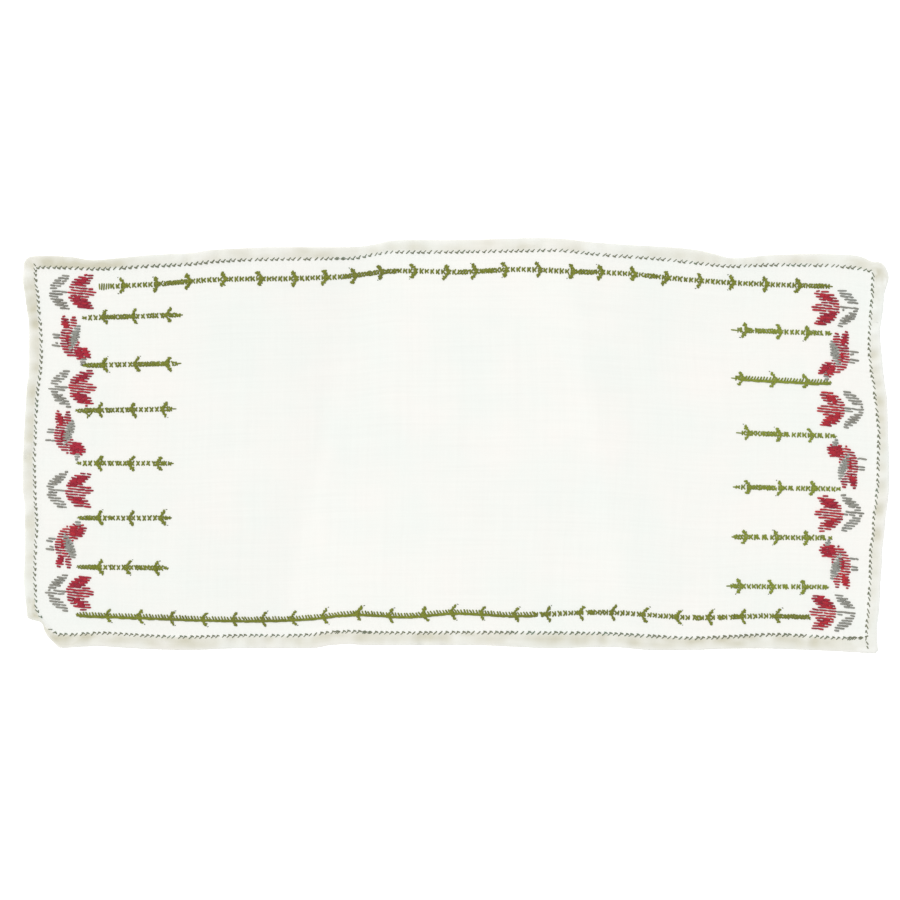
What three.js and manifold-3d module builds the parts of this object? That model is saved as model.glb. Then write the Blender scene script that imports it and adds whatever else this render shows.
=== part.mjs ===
// An embroidered linen table runner, laid flat and seen from above as +Z looks down.
// The cloth with its folded hem is one solid; the stitched vines and motifs stand on it as low relief.
// Millimetres. X runs along the runner, Y across it, and the origin is under its middle.
import * as THREE from "three";
import { mergeVertices } from "three/addons/utils/BufferGeometryUtils.js";
import Module from "manifold-3d";

const wasm = await Module();
wasm.setup();

// Heights above the table.
const GROUND_HEIGHT = 1.2; // the single cloth between the hems, with the air under it
const HEM_HEIGHT = 2.3; // the cloth folded over twice
const GROOVE_HEIGHT = 1.1; // where the hem stitches pull the layers together
const STITCH_HEIGHT = 2; // the top of the embroidery
const STITCH_FOOT = 0.5; // its lower end, inside the cloth

// The hem's section, from the underside round its outer fold to just before the stitches.
// A place is a share of the hem's width (across) and a distance inwards (inset).
// Rise is a share of the hem's height.
const HEM_SECTION = [
  { across: 0, inset: 0.8, rise: 0 },
  { across: 0, inset: 0, rise: 0.45 },
  { across: 0, inset: 0.8, rise: 0.92 },
  { across: 0.5, inset: 0, rise: 1 },
  { across: 1, inset: -1.6, rise: 0.92 },
];
// The hem wavers where its stitches gather it, by this height over these numbers of grid steps.
const PUCKER = { height: 0.35, shortWave: 3.3, longWave: 17 };

// The grid of faces on the cloth between the hems.
const COLUMNS = 40;
const ROWS = 18;
const SAME_POINT = 1e-3; // points closer than this are one

// The long sides: the outer edge and the hem stitches, at places along the runner.
const TOP_SIDE = [
  { x: -378.9, edge: 170.3, stitch: 160.2 },
  { x: -347, edge: 170, stitch: 159.5 },
  { x: -329, edge: 167, stitch: 158.6 },
  { x: -311, edge: 168, stitch: 159 },
  { x: -275, edge: 171.5, stitch: 161.2 },
  { x: -221, edge: 176, stitch: 165 },
  { x: -167, edge: 178.5, stitch: 167.3 },
  { x: -95, edge: 178.5, stitch: 168.3 },
  { x: -59, edge: 184, stitch: 173.7 },
  { x: 67, edge: 187, stitch: 175 },
  { x: 121, edge: 183, stitch: 172.3 },
  { x: 175, edge: 179.5, stitch: 168.3 },
  { x: 211, edge: 177, stitch: 164.5 },
  { x: 247, edge: 169, stitch: 161 },
  { x: 283, edge: 171.5, stitch: 162.3 },
  { x: 319, edge: 172.3, stitch: 162 },
  { x: 355, edge: 171.5, stitch: 160.2 },
  { x: 375, edge: 165.5, stitch: 156 },
];
const BOTTOM_SIDE = [
  { x: -366, edge: -174, stitch: -164.2 },
  { x: -351, edge: -182, stitch: -169.6 },
  { x: -320, edge: -180.5, stitch: -168.3 },
  { x: -275, edge: -183.2, stitch: -170.8 },
  { x: -239, edge: -184, stitch: -171.9 },
  { x: -185, edge: -182.3, stitch: -170.5 },
  { x: -131, edge: -182.3, stitch: -169.6 },
  { x: -104, edge: -179.1, stitch: -167 },
  { x: 13, edge: -179.6, stitch: -167.8 },
  { x: 85, edge: -182.3, stitch: -168.1 },
  { x: 139, edge: -181.4, stitch: -169.6 },
  { x: 211, edge: -184, stitch: -172.8 },
  { x: 265, edge: -182.7, stitch: -170.6 },
  { x: 319, edge: -184, stitch: -171 },
  { x: 369, edge: -186.5, stitch: -172.4 },
];

// The short sides, at places across the runner.
const LEFT_SIDE = [
  { y: -164.2, edge: -371, stitch: -366 },
  { y: -149, edge: -386.1, stitch: -377.1 },
  { y: -121, edge: -388.8, stitch: -379.4 },
  { y: -67, edge: -387.9, stitch: -377.7 },
  { y: -26, edge: -389.5, stitch: -379.8 },
  { y: 14, edge: -388.4, stitch: -378.7 },
  { y: 41, edge: -387, stitch: -377.6 },
  { y: 68, edge: -384.3, stitch: -374.4 },
  { y: 108, edge: -384.3, stitch: -374.6 },
  { y: 149, edge: -389.7, stitch: -378.5 },
  { y: 160.2, edge: -388.9, stitch: -378.9 },
];
const RIGHT_SIDE = [
  { y: -172.4, edge: 379.6, stitch: 369 },
  { y: -148, edge: 380.7, stitch: 370.4 },
  { y: -107, edge: 382.5, stitch: 372.6 },
  { y: -67, edge: 386.1, stitch: 375.3 },
  { y: -40, edge: 389.3, stitch: 378.6 },
  { y: 14, edge: 388.8, stitch: 379.8 },
  { y: 54, edge: 386.1, stitch: 375.3 },
  { y: 81, edge: 383, stitch: 371.6 },
  { y: 102, edge: 381.6, stitch: 371.4 },
  { y: 135, edge: 385.2, stitch: 374 },
  { y: 156, edge: 389.5, stitch: 375 },
];

// The corners, each in the order of a walk round the runner that keeps the cloth on its left.
const CORNERS = {
  bottomRight: [
    { x: 377.5, y: -187 },
    { x: 379.7, y: -184.5 },
  ],
  topRight: [
    { x: 389.5, y: 149.5 },
    { x: 388.6, y: 157.5 },
    { x: 382.5, y: 165 },
  ],
  topLeft: [
    { x: -381, y: 170.4 },
    { x: -386, y: 168.6 },
    { x: -388.3, y: 164.6 },
  ],
  // The bottom left corner is turned under, which leaves a small flap above a slanted fold.
  bottomLeft: [
    { x: -385.4, y: -154.6 },
    { x: -374, y: -158.6 },
    { x: -371, y: -163 },
    { x: -369.6, y: -168.5 },
    { x: -357.5, y: -181 },
  ],
};

// Two soft creases left from folding the runner in three, each a low ridge through three places.
const CREASES = [
  { topX: -87, middleX: -110, bottomX: -142 },
  { topX: 112, middleX: 127, bottomX: 148 },
];
const CREASE_HEIGHT = 0.5;
const CREASE_WIDTH = 22;
const CREASE_REACH = 150; // it fades out this far from the middle of the cloth
const CREASE_FADE = 50;
// The gentle rise and fall of laid cloth, and the length of its waves along and across.
const SWELL = { height: 0.12, along: 258, across: 207 };

// The vine: a stitched stem with pairs of slanted leaves.
const STEM_WIDTH = 4.6;
const STEM_STEPS = 28; // faces along a border's stem
// A leaf's four corners: back is behind its root along the stem, out is from the stem's middle.
const LEAF = [
  { back: -1, out: 0 },
  { back: 1.8, out: 5 },
  { back: 6, out: 6.7 },
  { back: 4.2, out: 0.4 },
];

// The borders' stems, at places along the runner.
const TOP_STEM = [
  { x: -322, y: 142.7 },
  { x: -275, y: 144.9 },
  { x: -221, y: 149 },
  { x: -131, y: 150.7 },
  { x: -95, y: 152.5 },
  { x: -68, y: 156.1 },
  { x: 13, y: 156.3 },
  { x: 49, y: 158.4 },
  { x: 103, y: 156.6 },
  { x: 157, y: 154.4 },
  { x: 193, y: 150.7 },
  { x: 229, y: 147.6 },
  { x: 283, y: 144.9 },
  { x: 337, y: 143.1 },
];
const BOTTOM_STEM = [
  { x: -343, y: -152.1 },
  { x: -275, y: -154.3 },
  { x: -221, y: -156.2 },
  { x: -131, y: -154.8 },
  { x: -95, y: -151.2 },
  { x: -41, y: -153 },
  { x: -5, y: -149.9 },
  { x: 49, y: -152.1 },
  { x: 139, y: -150.3 },
  { x: 211, y: -154.8 },
  { x: 283, y: -153.5 },
  { x: 317, y: -154.8 },
];

// Where the borders' leaves stand: runs of even pitch. They point right above and left below.
const TOP_LEAVES = {
  first: -298,
  heading: 1,
  runs: [
    { gaps: 5, pitch: 30.8 },
    { gaps: 3, pitch: 26.1 },
    { gaps: 13, pitch: 28.9 },
  ],
};
const BOTTOM_LEAVES = {
  first: -315,
  heading: -1,
  runs: [
    { gaps: 7, pitch: 27.6 },
    { gaps: 2, pitch: 31 },
    { gaps: 7, pitch: 28 },
    { gaps: 5, pitch: 30.1 },
  ],
};

// The short bars at both ends: a stem from root to tip, with three pairs of leaves that point to the root.
const LEFT_BARS = [
  { rootX: -335, rootY: 114.8, tipX: -247.5, tipY: 117.5, leaves: [18, 44.5, 75.6] },
  { rootX: -335, rootY: 72, tipX: -249.3, tipY: 73.8, leaves: [17.5, 46.8, 74.7] },
  { rootX: -341, rootY: 31.3, tipX: -253, tipY: 32.9, leaves: [19.8, 49.5, 77.4] },
  { rootX: -340, rootY: -15.8, tipX: -255.6, tipY: -16.2, leaves: [18, 46.4, 72] },
  { rootX: -339, rootY: -65.2, tipX: -257.4, tipY: -65.2, leaves: [17.6, 45.9, 73.8] },
  { rootX: -340, rootY: -109.3, tipX: -260, tipY: -110.2, leaves: [18.5, 44, 69.3] },
];
const RIGHT_BARS = [
  { rootX: 336.6, rootY: 100.8, tipX: 249.3, tipY: 104, leaves: [19.8, 45, 75.6] },
  { rootX: 336.6, rootY: 56.5, tipX: 249.3, tipY: 60.8, leaves: [20.7, 49.5, 79.2] },
  { rootX: 341, rootY: 8.5, tipX: 253.8, tipY: 11.3, leaves: [20.7, 49.5, 78.3] },
  { rootX: 343.8, rootY: -39.2, tipX: 251, tipY: -37.3, leaves: [21.6, 51.3, 80.1] },
  { rootX: 336.6, rootY: -83.2, tipX: 249.3, tipY: -82.3, leaves: [20.7, 47.7, 75.6] },
  { rootX: 334, rootY: -127.4, tipX: 244.8, tipY: -126.5, leaves: [20.7, 49.5, 78.3] },
];

// The motifs stand on the hem and point to the middle of the runner.
// Each row is one satin petal: from its root to its tip, u inwards and v sideways.
const TULIP = [
  { rootU: 1, rootV: 0, tipU: 24, tipV: 0, width: 4.2 },
  { rootU: 3, rootV: 2, tipU: 22, tipV: 17, width: 8 },
  { rootU: 3, rootV: -2, tipU: 22, tipV: -17, width: 8 },
  { rootU: 20, rootV: 3, tipU: 43, tipV: 15, width: 11 },
  { rootU: 20, rootV: -3, tipU: 43, tipV: -15, width: 11 },
  { rootU: 19, rootV: 0, tipU: 46, tipV: 0, width: 11 },
];
const SONGBIRD = [
  { rootU: 13, rootV: -4, tipU: 1, tipV: -6, width: 4 },
  { rootU: 13, rootV: 4, tipU: 1, tipV: 2, width: 4 },
  { rootU: 21, rootV: -8, tipU: 22, tipV: -24, width: 7 },
  { rootU: 17, rootV: -8, tipU: 12, tipV: -24, width: 8 },
  { rootU: 15, rootV: -16, tipU: 21, tipV: 15, width: 17 },
  { rootU: 21, rootV: 8, tipU: 38, tipV: 13, width: 14 },
  { rootU: 32, rootV: 13, tipU: 29, tipV: 21, width: 5 },
  { rootU: 18, rootV: 8, tipU: 27, tipV: -16, width: 8.5 },
];
// How a petal's flank bulges: places along it, and shares of its half width.
const PETAL_FLANK = [
  { along: 0.2, out: 0.72 },
  { along: 0.5, out: 1 },
  { along: 0.8, out: 0.72 },
];
const MOTIF_OFFSET = 8; // from the hem stitches to a motif's foot
const END_MOTIF_GAP = 23; // from the first and last bar to the motif beyond it

// Reads one column of a table as a smooth curve, at a place between its rows.
function readTable(rows, place, column, at) {
  const last = rows.length - 2;
  const next = rows.findIndex((row) => row[place] > at);
  const i = next < 0 ? last : Math.max(next - 1, 0);
  const [before, from, to, after] = [i - 1, i, i + 1, i + 2].map(
    (k) => rows[THREE.MathUtils.clamp(k, 0, rows.length - 1)],
  );
  const span = to[place] - from[place];
  const slopeFrom = ((to[column] - before[column]) / (to[place] - before[place])) * span;
  const slopeTo = ((after[column] - from[column]) / (after[place] - from[place])) * span;
  const t = THREE.MathUtils.clamp((at - from[place]) / span, 0, 1);
  const rise = t * t * (3 - 2 * t);
  const bend = t * (1 - t) * ((1 - t) * slopeFrom - t * slopeTo);
  return from[column] + (to[column] - from[column]) * rise + bend;
}

// The points of one side at even steps, each an outer edge point with its stitch point.
function sideStations(rows, place, steps) {
  const first = rows[0][place];
  const last = rows[rows.length - 1][place];
  return Array.from({ length: steps + 1 }, (_, k) => {
    const at = THREE.MathUtils.lerp(first, last, k / steps);
    const edge = readTable(rows, place, "edge", at);
    const stitch = readTable(rows, place, "stitch", at);
    return place === "x"
      ? { edge: new THREE.Vector2(at, edge), stitch: new THREE.Vector2(at, stitch) }
      : { edge: new THREE.Vector2(edge, at), stitch: new THREE.Vector2(stitch, at) };
  });
}

const bottomStations = sideStations(BOTTOM_SIDE, "x", COLUMNS);
const topStations = sideStations(TOP_SIDE, "x", COLUMNS);
const leftStations = sideStations(LEFT_SIDE, "y", ROWS);
const rightStations = sideStations(RIGHT_SIDE, "y", ROWS);

// A corner's edge points all belong to the stitch point where two sides meet.
function cornerStations(points, stitch) {
  return points.map((point) => ({ edge: new THREE.Vector2(point.x, point.y), stitch }));
}

// One walk round the runner, anticlockwise from above.
function walkRound() {
  const corner = {
    bottomLeft: bottomStations[0].stitch,
    bottomRight: bottomStations[COLUMNS].stitch,
    topRight: topStations[COLUMNS].stitch,
    topLeft: topStations[0].stitch,
  };
  return [
    ...cornerStations(CORNERS.bottomLeft, corner.bottomLeft),
    ...bottomStations.slice(1, -1),
    ...cornerStations(CORNERS.bottomRight, corner.bottomRight),
    ...rightStations.slice(1, -1),
    ...cornerStations(CORNERS.topRight, corner.topRight),
    ...topStations.slice(1, -1).reverse(),
    ...cornerStations(CORNERS.topLeft, corner.topLeft),
    ...leftStations.slice(1, -1).reverse(),
  ];
}

// A wave that starts at 0 and comes round once in its length.
function wave(at, length) {
  return Math.sin((2 * Math.PI * at) / length);
}

// The hem's height at one station of the walk.
function hemHeight(k) {
  return HEM_HEIGHT + PUCKER.height * wave(k, PUCKER.shortWave) * wave(k, PUCKER.longWave);
}

// The closed rings of points from the underside's rim over the hem to its stitches.
function hemRings(stations) {
  const raised = HEM_SECTION.map(({ across, inset, rise }) =>
    stations.map((station, k) => {
      const inward = station.stitch.clone().sub(station.edge);
      const distance = inward.length() * across + inset;
      const p = station.edge.clone().addScaledVector(inward.normalize(), distance);
      return new THREE.Vector3(p.x, p.y, hemHeight(k) * rise);
    }),
  );
  const stitched = stations.map(({ stitch }) => new THREE.Vector3(stitch.x, stitch.y, GROOVE_HEIGHT));
  return [...raised, stitched];
}

// The height of the cloth between the hems.
function groundHeight(x, y) {
  const fade = THREE.MathUtils.smoothstep(CREASE_REACH - Math.abs(y), 0, CREASE_FADE);
  const ridges = CREASES.map((crease) => {
    const t = y / CREASE_REACH;
    const sway = (crease.topX - crease.bottomX) / 2;
    const bow = (crease.topX + crease.bottomX) / 2 - crease.middleX;
    const distance = (x - crease.middleX - sway * t - bow * t * t) / CREASE_WIDTH;
    return CREASE_HEIGHT * fade * Math.exp(-distance * distance);
  });
  const swell = SWELL.height * wave(x, SWELL.along) * wave(y, SWELL.across);
  return GROUND_HEIGHT + ridges[0] + ridges[1] + swell;
}

// The points of the cloth between the hems, blended from its four sides of stitches.
function groundGrid() {
  const mix = (a, b, t) => a.clone().lerp(b, t);
  const grid = [];
  for (let j = 0; j <= ROWS; j += 1) {
    for (let i = 0; i <= COLUMNS; i += 1) {
      const u = i / COLUMNS;
      const v = j / ROWS;
      const across = mix(bottomStations[i].stitch, topStations[i].stitch, v);
      const along = mix(leftStations[j].stitch, rightStations[j].stitch, u);
      const low = mix(bottomStations[0].stitch, bottomStations[COLUMNS].stitch, u);
      const high = mix(topStations[0].stitch, topStations[COLUMNS].stitch, u);
      const p = across.add(along).sub(mix(low, high, v));
      const rim = i === 0 || j === 0 || i === COLUMNS || j === ROWS;
      grid.push(new THREE.Vector3(p.x, p.y, rim ? GROOVE_HEIGHT : groundHeight(p.x, p.y)));
    }
  }
  return grid;
}

// A closed solid from triangles given as points.
function solidFrom(geometry) {
  geometry.deleteAttribute("normal");
  geometry.deleteAttribute("uv");
  const merged = mergeVertices(geometry, SAME_POINT);
  const corners = merged.index.array;
  const whole = [];
  for (let k = 0; k < corners.length; k += 3) {
    const [a, b, c] = corners.slice(k, k + 3);
    if (a !== b && b !== c && c !== a) whole.push(a, b, c);
  }
  return new wasm.Manifold(
    new wasm.Mesh({
      numProp: 3,
      vertProperties: merged.attributes.position.array,
      triVerts: new Uint32Array(whole),
    }),
  );
}

// The bare cloth: hem rings, the ground between them, and a flat underside.
function clothSolid() {
  const rings = hemRings(walkRound());
  const grid = groundGrid();
  const points = [];
  const quad = (a, b, c, d) => points.push(a, b, c, a, c, d);
  const wrap = (ring, k) => ring[k % ring.length];

  for (let r = 0; r + 1 < rings.length; r += 1) {
    for (let k = 0; k < rings[r].length; k += 1) {
      quad(rings[r][k], wrap(rings[r], k + 1), wrap(rings[r + 1], k + 1), rings[r + 1][k]);
    }
  }
  for (let j = 0; j < ROWS; j += 1) {
    for (let i = 0; i < COLUMNS; i += 1) {
      const k = j * (COLUMNS + 1) + i;
      quad(grid[k], grid[k + 1], grid[k + COLUMNS + 2], grid[k + COLUMNS + 1]);
    }
  }
  const underside = THREE.ShapeUtils.triangulateShape(rings[0], []);
  for (const [a, b, c] of underside) points.push(rings[0][a], rings[0][c], rings[0][b]);

  return solidFrom(new THREE.BufferGeometry().setFromPoints(points));
}

// A low plate of stitches, from inside the cloth up to the embroidery's top.
function stitchPlate(outline) {
  const geometry = new THREE.ExtrudeGeometry(new THREE.Shape(outline), {
    depth: STITCH_HEIGHT - STITCH_FOOT,
    bevelEnabled: false,
  });
  geometry.translate(0, 0, STITCH_FOOT);
  return solidFrom(geometry);
}

// A stem as wide as its stitches, along a line of points.
function stemPlate(line) {
  const half = STEM_WIDTH / 2;
  const upper = line.map((p) => new THREE.Vector2(p.x, p.y + half));
  const lower = line.map((p) => new THREE.Vector2(p.x, p.y - half));
  return stitchPlate([...lower, ...upper.reverse()]);
}

// One leaf, from the stem at a place outwards: side is 1 above and -1 below, heading where it points.
function leafPlate(x, y, side, heading) {
  const outline = LEAF.map(({ back, out }) => new THREE.Vector2(x - heading * back, y + side * out));
  return stitchPlate(outline);
}

// A pointed satin petal between two places.
function petalPlate(root, tip, width) {
  const axis = tip.clone().sub(root);
  const across = new THREE.Vector2(-axis.y, axis.x).setLength(width / 2);
  const flank = (side) =>
    PETAL_FLANK.map(({ along, out }) =>
      root.clone().addScaledVector(axis, along).addScaledVector(across, side * out),
    );
  return stitchPlate([root, ...flank(-1), tip, ...flank(1).reverse()]);
}

// A border: its stem follows a table, with leaves in runs of even pitch.
function borderPlates(stem, leaves) {
  const heightAt = (x) => readTable(stem, "x", "y", x);
  const start = stem[0].x;
  const end = stem[stem.length - 1].x;
  const line = Array.from({ length: STEM_STEPS + 1 }, (_, k) => {
    const x = THREE.MathUtils.lerp(start, end, k / STEM_STEPS);
    return new THREE.Vector2(x, heightAt(x));
  });
  const places = [leaves.first];
  for (const run of leaves.runs) {
    for (let k = 0; k < run.gaps; k += 1) places.push(places[places.length - 1] + run.pitch);
  }
  const pairs = places.flatMap((x) =>
    [1, -1].map((side) => leafPlate(x, heightAt(x), side, leaves.heading)),
  );
  return [stemPlate(line), ...pairs];
}

// A short bar: a straight stem with leaves at distances from its root.
function barPlates(bar) {
  const root = new THREE.Vector2(bar.rootX, bar.rootY);
  const tip = new THREE.Vector2(bar.tipX, bar.tipY);
  const length = root.distanceTo(tip);
  const heading = Math.sign(bar.rootX - bar.tipX);
  const pairs = bar.leaves.flatMap((distance) => {
    const p = root.clone().lerp(tip, distance / length);
    return [1, -1].map((side) => leafPlate(p.x, p.y, side, heading));
  });
  const ends = bar.rootX < bar.tipX ? [root, tip] : [tip, root];
  return [stemPlate(ends), ...pairs];
}

// A motif's petals, with its foot near the stitches of one end: inwards is 1 at the left, -1 at the right.
function motifPlates(motif, footX, middleY, inwards, flip) {
  const place = (u, v) => new THREE.Vector2(footX + inwards * u, middleY + flip * v);
  return motif.map((petal) => {
    const root = place(petal.rootU, petal.rootV);
    const tip = place(petal.tipU, petal.tipV);
    return petalPlate(root, tip, petal.width);
  });
}

// A column of motifs at one end: one between each two bars, and one beyond the first and last.
function columnPlates(side, bars, inwards) {
  const levels = bars.map((bar) => bar.rootY);
  const middles = [
    levels[0] + END_MOTIF_GAP,
    ...levels.slice(1).map((level, k) => (level + levels[k]) / 2),
    levels[levels.length - 1] - END_MOTIF_GAP,
  ];
  return middles.flatMap((middleY, k) => {
    const footX = readTable(side, "y", "stitch", middleY) + inwards * MOTIF_OFFSET;
    const motif = k % 2 === 0 ? TULIP : SONGBIRD;
    const flip = middleY > 0 ? -1 : 1;
    return motifPlates(motif, footX, middleY, inwards, flip);
  });
}

function embroideryPlates() {
  return [
    ...borderPlates(TOP_STEM, TOP_LEAVES),
    ...borderPlates(BOTTOM_STEM, BOTTOM_LEAVES),
    ...LEFT_BARS.flatMap(barPlates),
    ...RIGHT_BARS.flatMap(barPlates),
    ...columnPlates(LEFT_SIDE, LEFT_BARS, 1),
    ...columnPlates(RIGHT_SIDE, RIGHT_BARS, -1),
  ];
}

// The whole runner as one body.
function runnerGeometry() {
  const cloth = embroideryPlates().reduce((whole, plate) => whole.add(plate), clothSolid());
  const mesh = cloth.getMesh();
  const geometry = new THREE.BufferGeometry();
  geometry.setAttribute("position", new THREE.BufferAttribute(mesh.vertProperties, 3));
  geometry.setIndex(new THREE.BufferAttribute(mesh.triVerts, 1));
  geometry.computeVertexNormals();
  return geometry;
}

const linen = new THREE.MeshStandardMaterial({ color: 0xf3f3ec, roughness: 0.9, metalness: 0 });
const cloth = new THREE.Mesh(runnerGeometry(), linen);
cloth.name = "runner_cloth";

const runner = new THREE.Group();
runner.add(cloth);

export default runner;
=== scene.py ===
# %% [markdown]
# # An embroidered linen runner
# The real thing is one piece of plain-woven linen, hemmed all round with dark stitches,
# with green vines along its sides and a column of red and grey motifs at each end.
# The solid model gives its size and place. Everything here is made round that frame, in metres.

# %% Load the frame
import math

import bpy
import numpy as np
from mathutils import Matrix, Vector


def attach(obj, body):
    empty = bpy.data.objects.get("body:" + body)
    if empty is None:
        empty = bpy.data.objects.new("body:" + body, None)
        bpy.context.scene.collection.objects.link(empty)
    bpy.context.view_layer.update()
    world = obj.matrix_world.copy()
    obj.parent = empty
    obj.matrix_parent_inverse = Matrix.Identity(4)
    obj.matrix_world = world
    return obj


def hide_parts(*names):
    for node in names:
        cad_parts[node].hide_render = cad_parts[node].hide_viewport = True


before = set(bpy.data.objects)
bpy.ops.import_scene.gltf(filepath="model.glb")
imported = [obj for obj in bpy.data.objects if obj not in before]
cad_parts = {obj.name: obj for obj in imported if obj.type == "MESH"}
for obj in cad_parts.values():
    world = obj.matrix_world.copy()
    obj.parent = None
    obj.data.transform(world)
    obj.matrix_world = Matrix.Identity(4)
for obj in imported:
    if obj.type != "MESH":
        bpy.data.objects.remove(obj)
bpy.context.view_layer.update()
CLOTH_NODE = "runner_cloth"
MM = 0.001

# %% [markdown]
# ## How the cloth lies
# A washed runner is never a true rectangle. Each side is a table: how far out the folded edge
# and the line of hem stitches lie, at places along it. A smooth curve is drawn through the rows,
# because the cloth between two pulls of the hem bends softly.

# %% Tables of the four sides, in millimetres
# Each row: place along the side, folded edge, hem stitches.
TOP_SIDE = np.array([
    (-378.9, 170.3, 160.2), (-365, 170.6, 160.2), (-347, 169.7, 159.5), (-329, 167, 158.6),
    (-311, 167.9, 159), (-275, 171.5, 161.2), (-239, 173.2, 163), (-221, 176, 165),
    (-185, 177.8, 166.9), (-167, 178.6, 167.3), (-113, 178.5, 167.9), (-92, 178.8, 168.4),
    (-77, 180.5, 171), (-59, 184.2, 173.7), (-41, 185, 173.7), (13, 185.2, 174.2),
    (67, 186.8, 175), (94, 186.2, 175.3), (121, 183.2, 172.4), (157, 180.5, 169.5),
    (175, 179.6, 168.3), (211, 176.8, 164.5), (229, 173.3, 162.5), (247, 168.8, 161),
    (265, 169.7, 161.6), (283, 171.5, 162.3), (319, 172.4, 162), (340, 172.2, 161.4),
    (360, 171, 159.3), (375, 165.5, 156),
])
BOTTOM_SIDE = np.array([
    (-366, -174, -164.2), (-360, -179, -169), (-351, -181.8, -169.6), (-333, -180.8, -169),
    (-320, -180.5, -168.3), (-293, -182.3, -169.7), (-275, -183.2, -170.8), (-239, -184, -171.9),
    (-203, -182.6, -170.8), (-185, -182.3, -170.5), (-131, -182.2, -169.7), (-113, -179.6, -167.6),
    (-95, -178.7, -166.9), (-77, -179.6, -167.6), (13, -179.6, -167.8), (49, -180.9, -167.8),
    (85, -182.3, -168.1), (139, -181.4, -168.9), (175, -184, -171), (211, -184, -172.8),
    (247, -182.8, -171.6), (283, -182.7, -169.7), (319, -184, -171), (343, -185, -172.8),
    (369, -186.5, -172.4),
])
LEFT_SIDE = np.array([
    (-164.2, -371, -366), (-149, -386.1, -377.1), (-134.5, -387.9, -378.5), (-121, -388.8, -379.4),
    (-94, -387.9, -378.9), (-67, -387.9, -377.7), (-53, -388.2, -378.9), (-40, -389.6, -379.4),
    (-13, -389.6, -379.8), (14, -388.5, -378.7), (41, -387, -377.6), (54.5, -386.1, -376.2),
    (68, -384.4, -374.4), (108, -384.3, -374.5), (122, -386.1, -375.8), (135.5, -387.9, -376.7),
    (149, -389.6, -378.5), (160.2, -388.9, -378.9),
])
RIGHT_SIDE = np.array([
    (-172.4, 379.6, 369), (-161.5, 378.9, 369.2), (-148, 380.7, 370.4), (-121, 382, 372),
    (-107, 383.2, 372.6), (-94, 383.4, 372.7), (-80, 385.3, 374.9), (-67, 386.3, 375.3),
    (-40, 389.4, 378.6), (-13, 389.5, 379.4), (14, 388.8, 379.8), (41, 387.9, 376.7),
    (54, 386.1, 375.3), (68, 384.3, 373), (81, 383.2, 371.6), (102, 381.6, 371.4),
    (122, 384.3, 373), (135, 385.2, 374), (156, 389.2, 375),
])
# The folded corners, walking anticlockwise: (x, y) of the places that the edge passes.
# The bottom left corner is turned under, which leaves a small flap above a slanted fold.
BOTTOM_LEFT_FOLD = [
    (-386.3, -152), (-385.3, -155), (-380, -157.2), (-374.5, -158.4), (-371.8, -161),
    (-370, -167.8), (-365, -174.2), (-358, -180.6), (-354, -182.1),
]
BOTTOM_RIGHT_FOLD = [(373.5, -186.9), (377.9, -186.7), (379.7, -184.4), (379.3, -180)]
TOP_RIGHT_FOLD = [
    (388.3, 146), (389.4, 150.5), (388.4, 156.4), (385, 162.5), (380.5, 165.1), (374.5, 165.4),
    (370, 167.6),
]
TOP_LEFT_FOLD = [(-378, 170.5), (-383.5, 169.9), (-387, 167.4), (-388.8, 163)]
print(len(TOP_SIDE) + len(BOTTOM_SIDE) + len(LEFT_SIDE) + len(RIGHT_SIDE), "places along the sides")

# %% [markdown]
# ### Curves through the rows
# `smooth` is a cubic curve through a table, with the slope at each row taken from its neighbours,
# so that it never overshoots far. `closed_path` draws the same kind of curve through a ring
# of points, for the folded edge, which turns round the corners and so is no function of x or y.

# %% Two kinds of smooth curve
def cubic(low, high, low_slope, high_slope, t):
    """What lies at share t between two values, each with its slope."""
    rise = t * t * (3 - 2 * t)
    return low + (high - low) * rise + t * (1 - t) * ((1 - t) * low_slope - t * high_slope)


def smooth(places, values, at):
    """The values of a table read as a smooth curve."""
    slopes = np.gradient(values, places)
    i = np.clip(np.searchsorted(places, at) - 1, 0, len(places) - 2)
    span = places[i + 1] - places[i]
    t = np.clip((at - places[i]) / span, 0, 1)
    return cubic(values[i], values[i + 1], slopes[i] * span, slopes[i + 1] * span, t)


def closed_path(corners, steps=24):
    """A ring of points through the given ones, with a number of steps between each two."""
    here = np.array(corners, float)[:, None, :]
    before, after, later = (np.roll(here, shift, 0) for shift in (1, -1, -2))
    t = np.linspace(0, 1, steps, endpoint=False)[None, :, None]
    return cubic(here, after, (after - before) / 2, (later - here) / 2, t).reshape(-1, 2)


print("curves ready")

# %% [markdown]
# ### The folded edge as a ring
# The edge is one closed ring of points. Two questions come back all the time: how far round
# a ring a point is, and which point of it lies nearest. Both get a helper of their own.

# %% Draw the folded edge
def ring_marks(ring):
    """How far round a closed ring each of its points is, and last of all its whole length."""
    steps = np.linalg.norm(np.diff(ring, axis=0, append=ring[:1]), axis=1)
    return np.concatenate([[0], np.cumsum(steps)])


def place_on_ring(ring, marks, at):
    """The places that lie so far round a closed ring."""
    closed = np.vstack([ring, ring[:1]])
    return np.stack([np.interp(at % marks[-1], marks, closed[:, k]) for k in (0, 1)], axis=-1)


def gaps(points, others):
    """The distance from each point to each of the others."""
    return np.linalg.norm(points[:, None] - others[None], axis=2)


def nearest(points, others):
    """Which one of the others lies nearest to each point."""
    return gaps(points, others).argmin(axis=1)


def edge_between(side, low, high, lengthwise):
    """The folded edge's corners on one side, between the folds at its two ends."""
    return [(at, edge) if lengthwise else (edge, at) for at, edge, _ in side if low < at < high]


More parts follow.
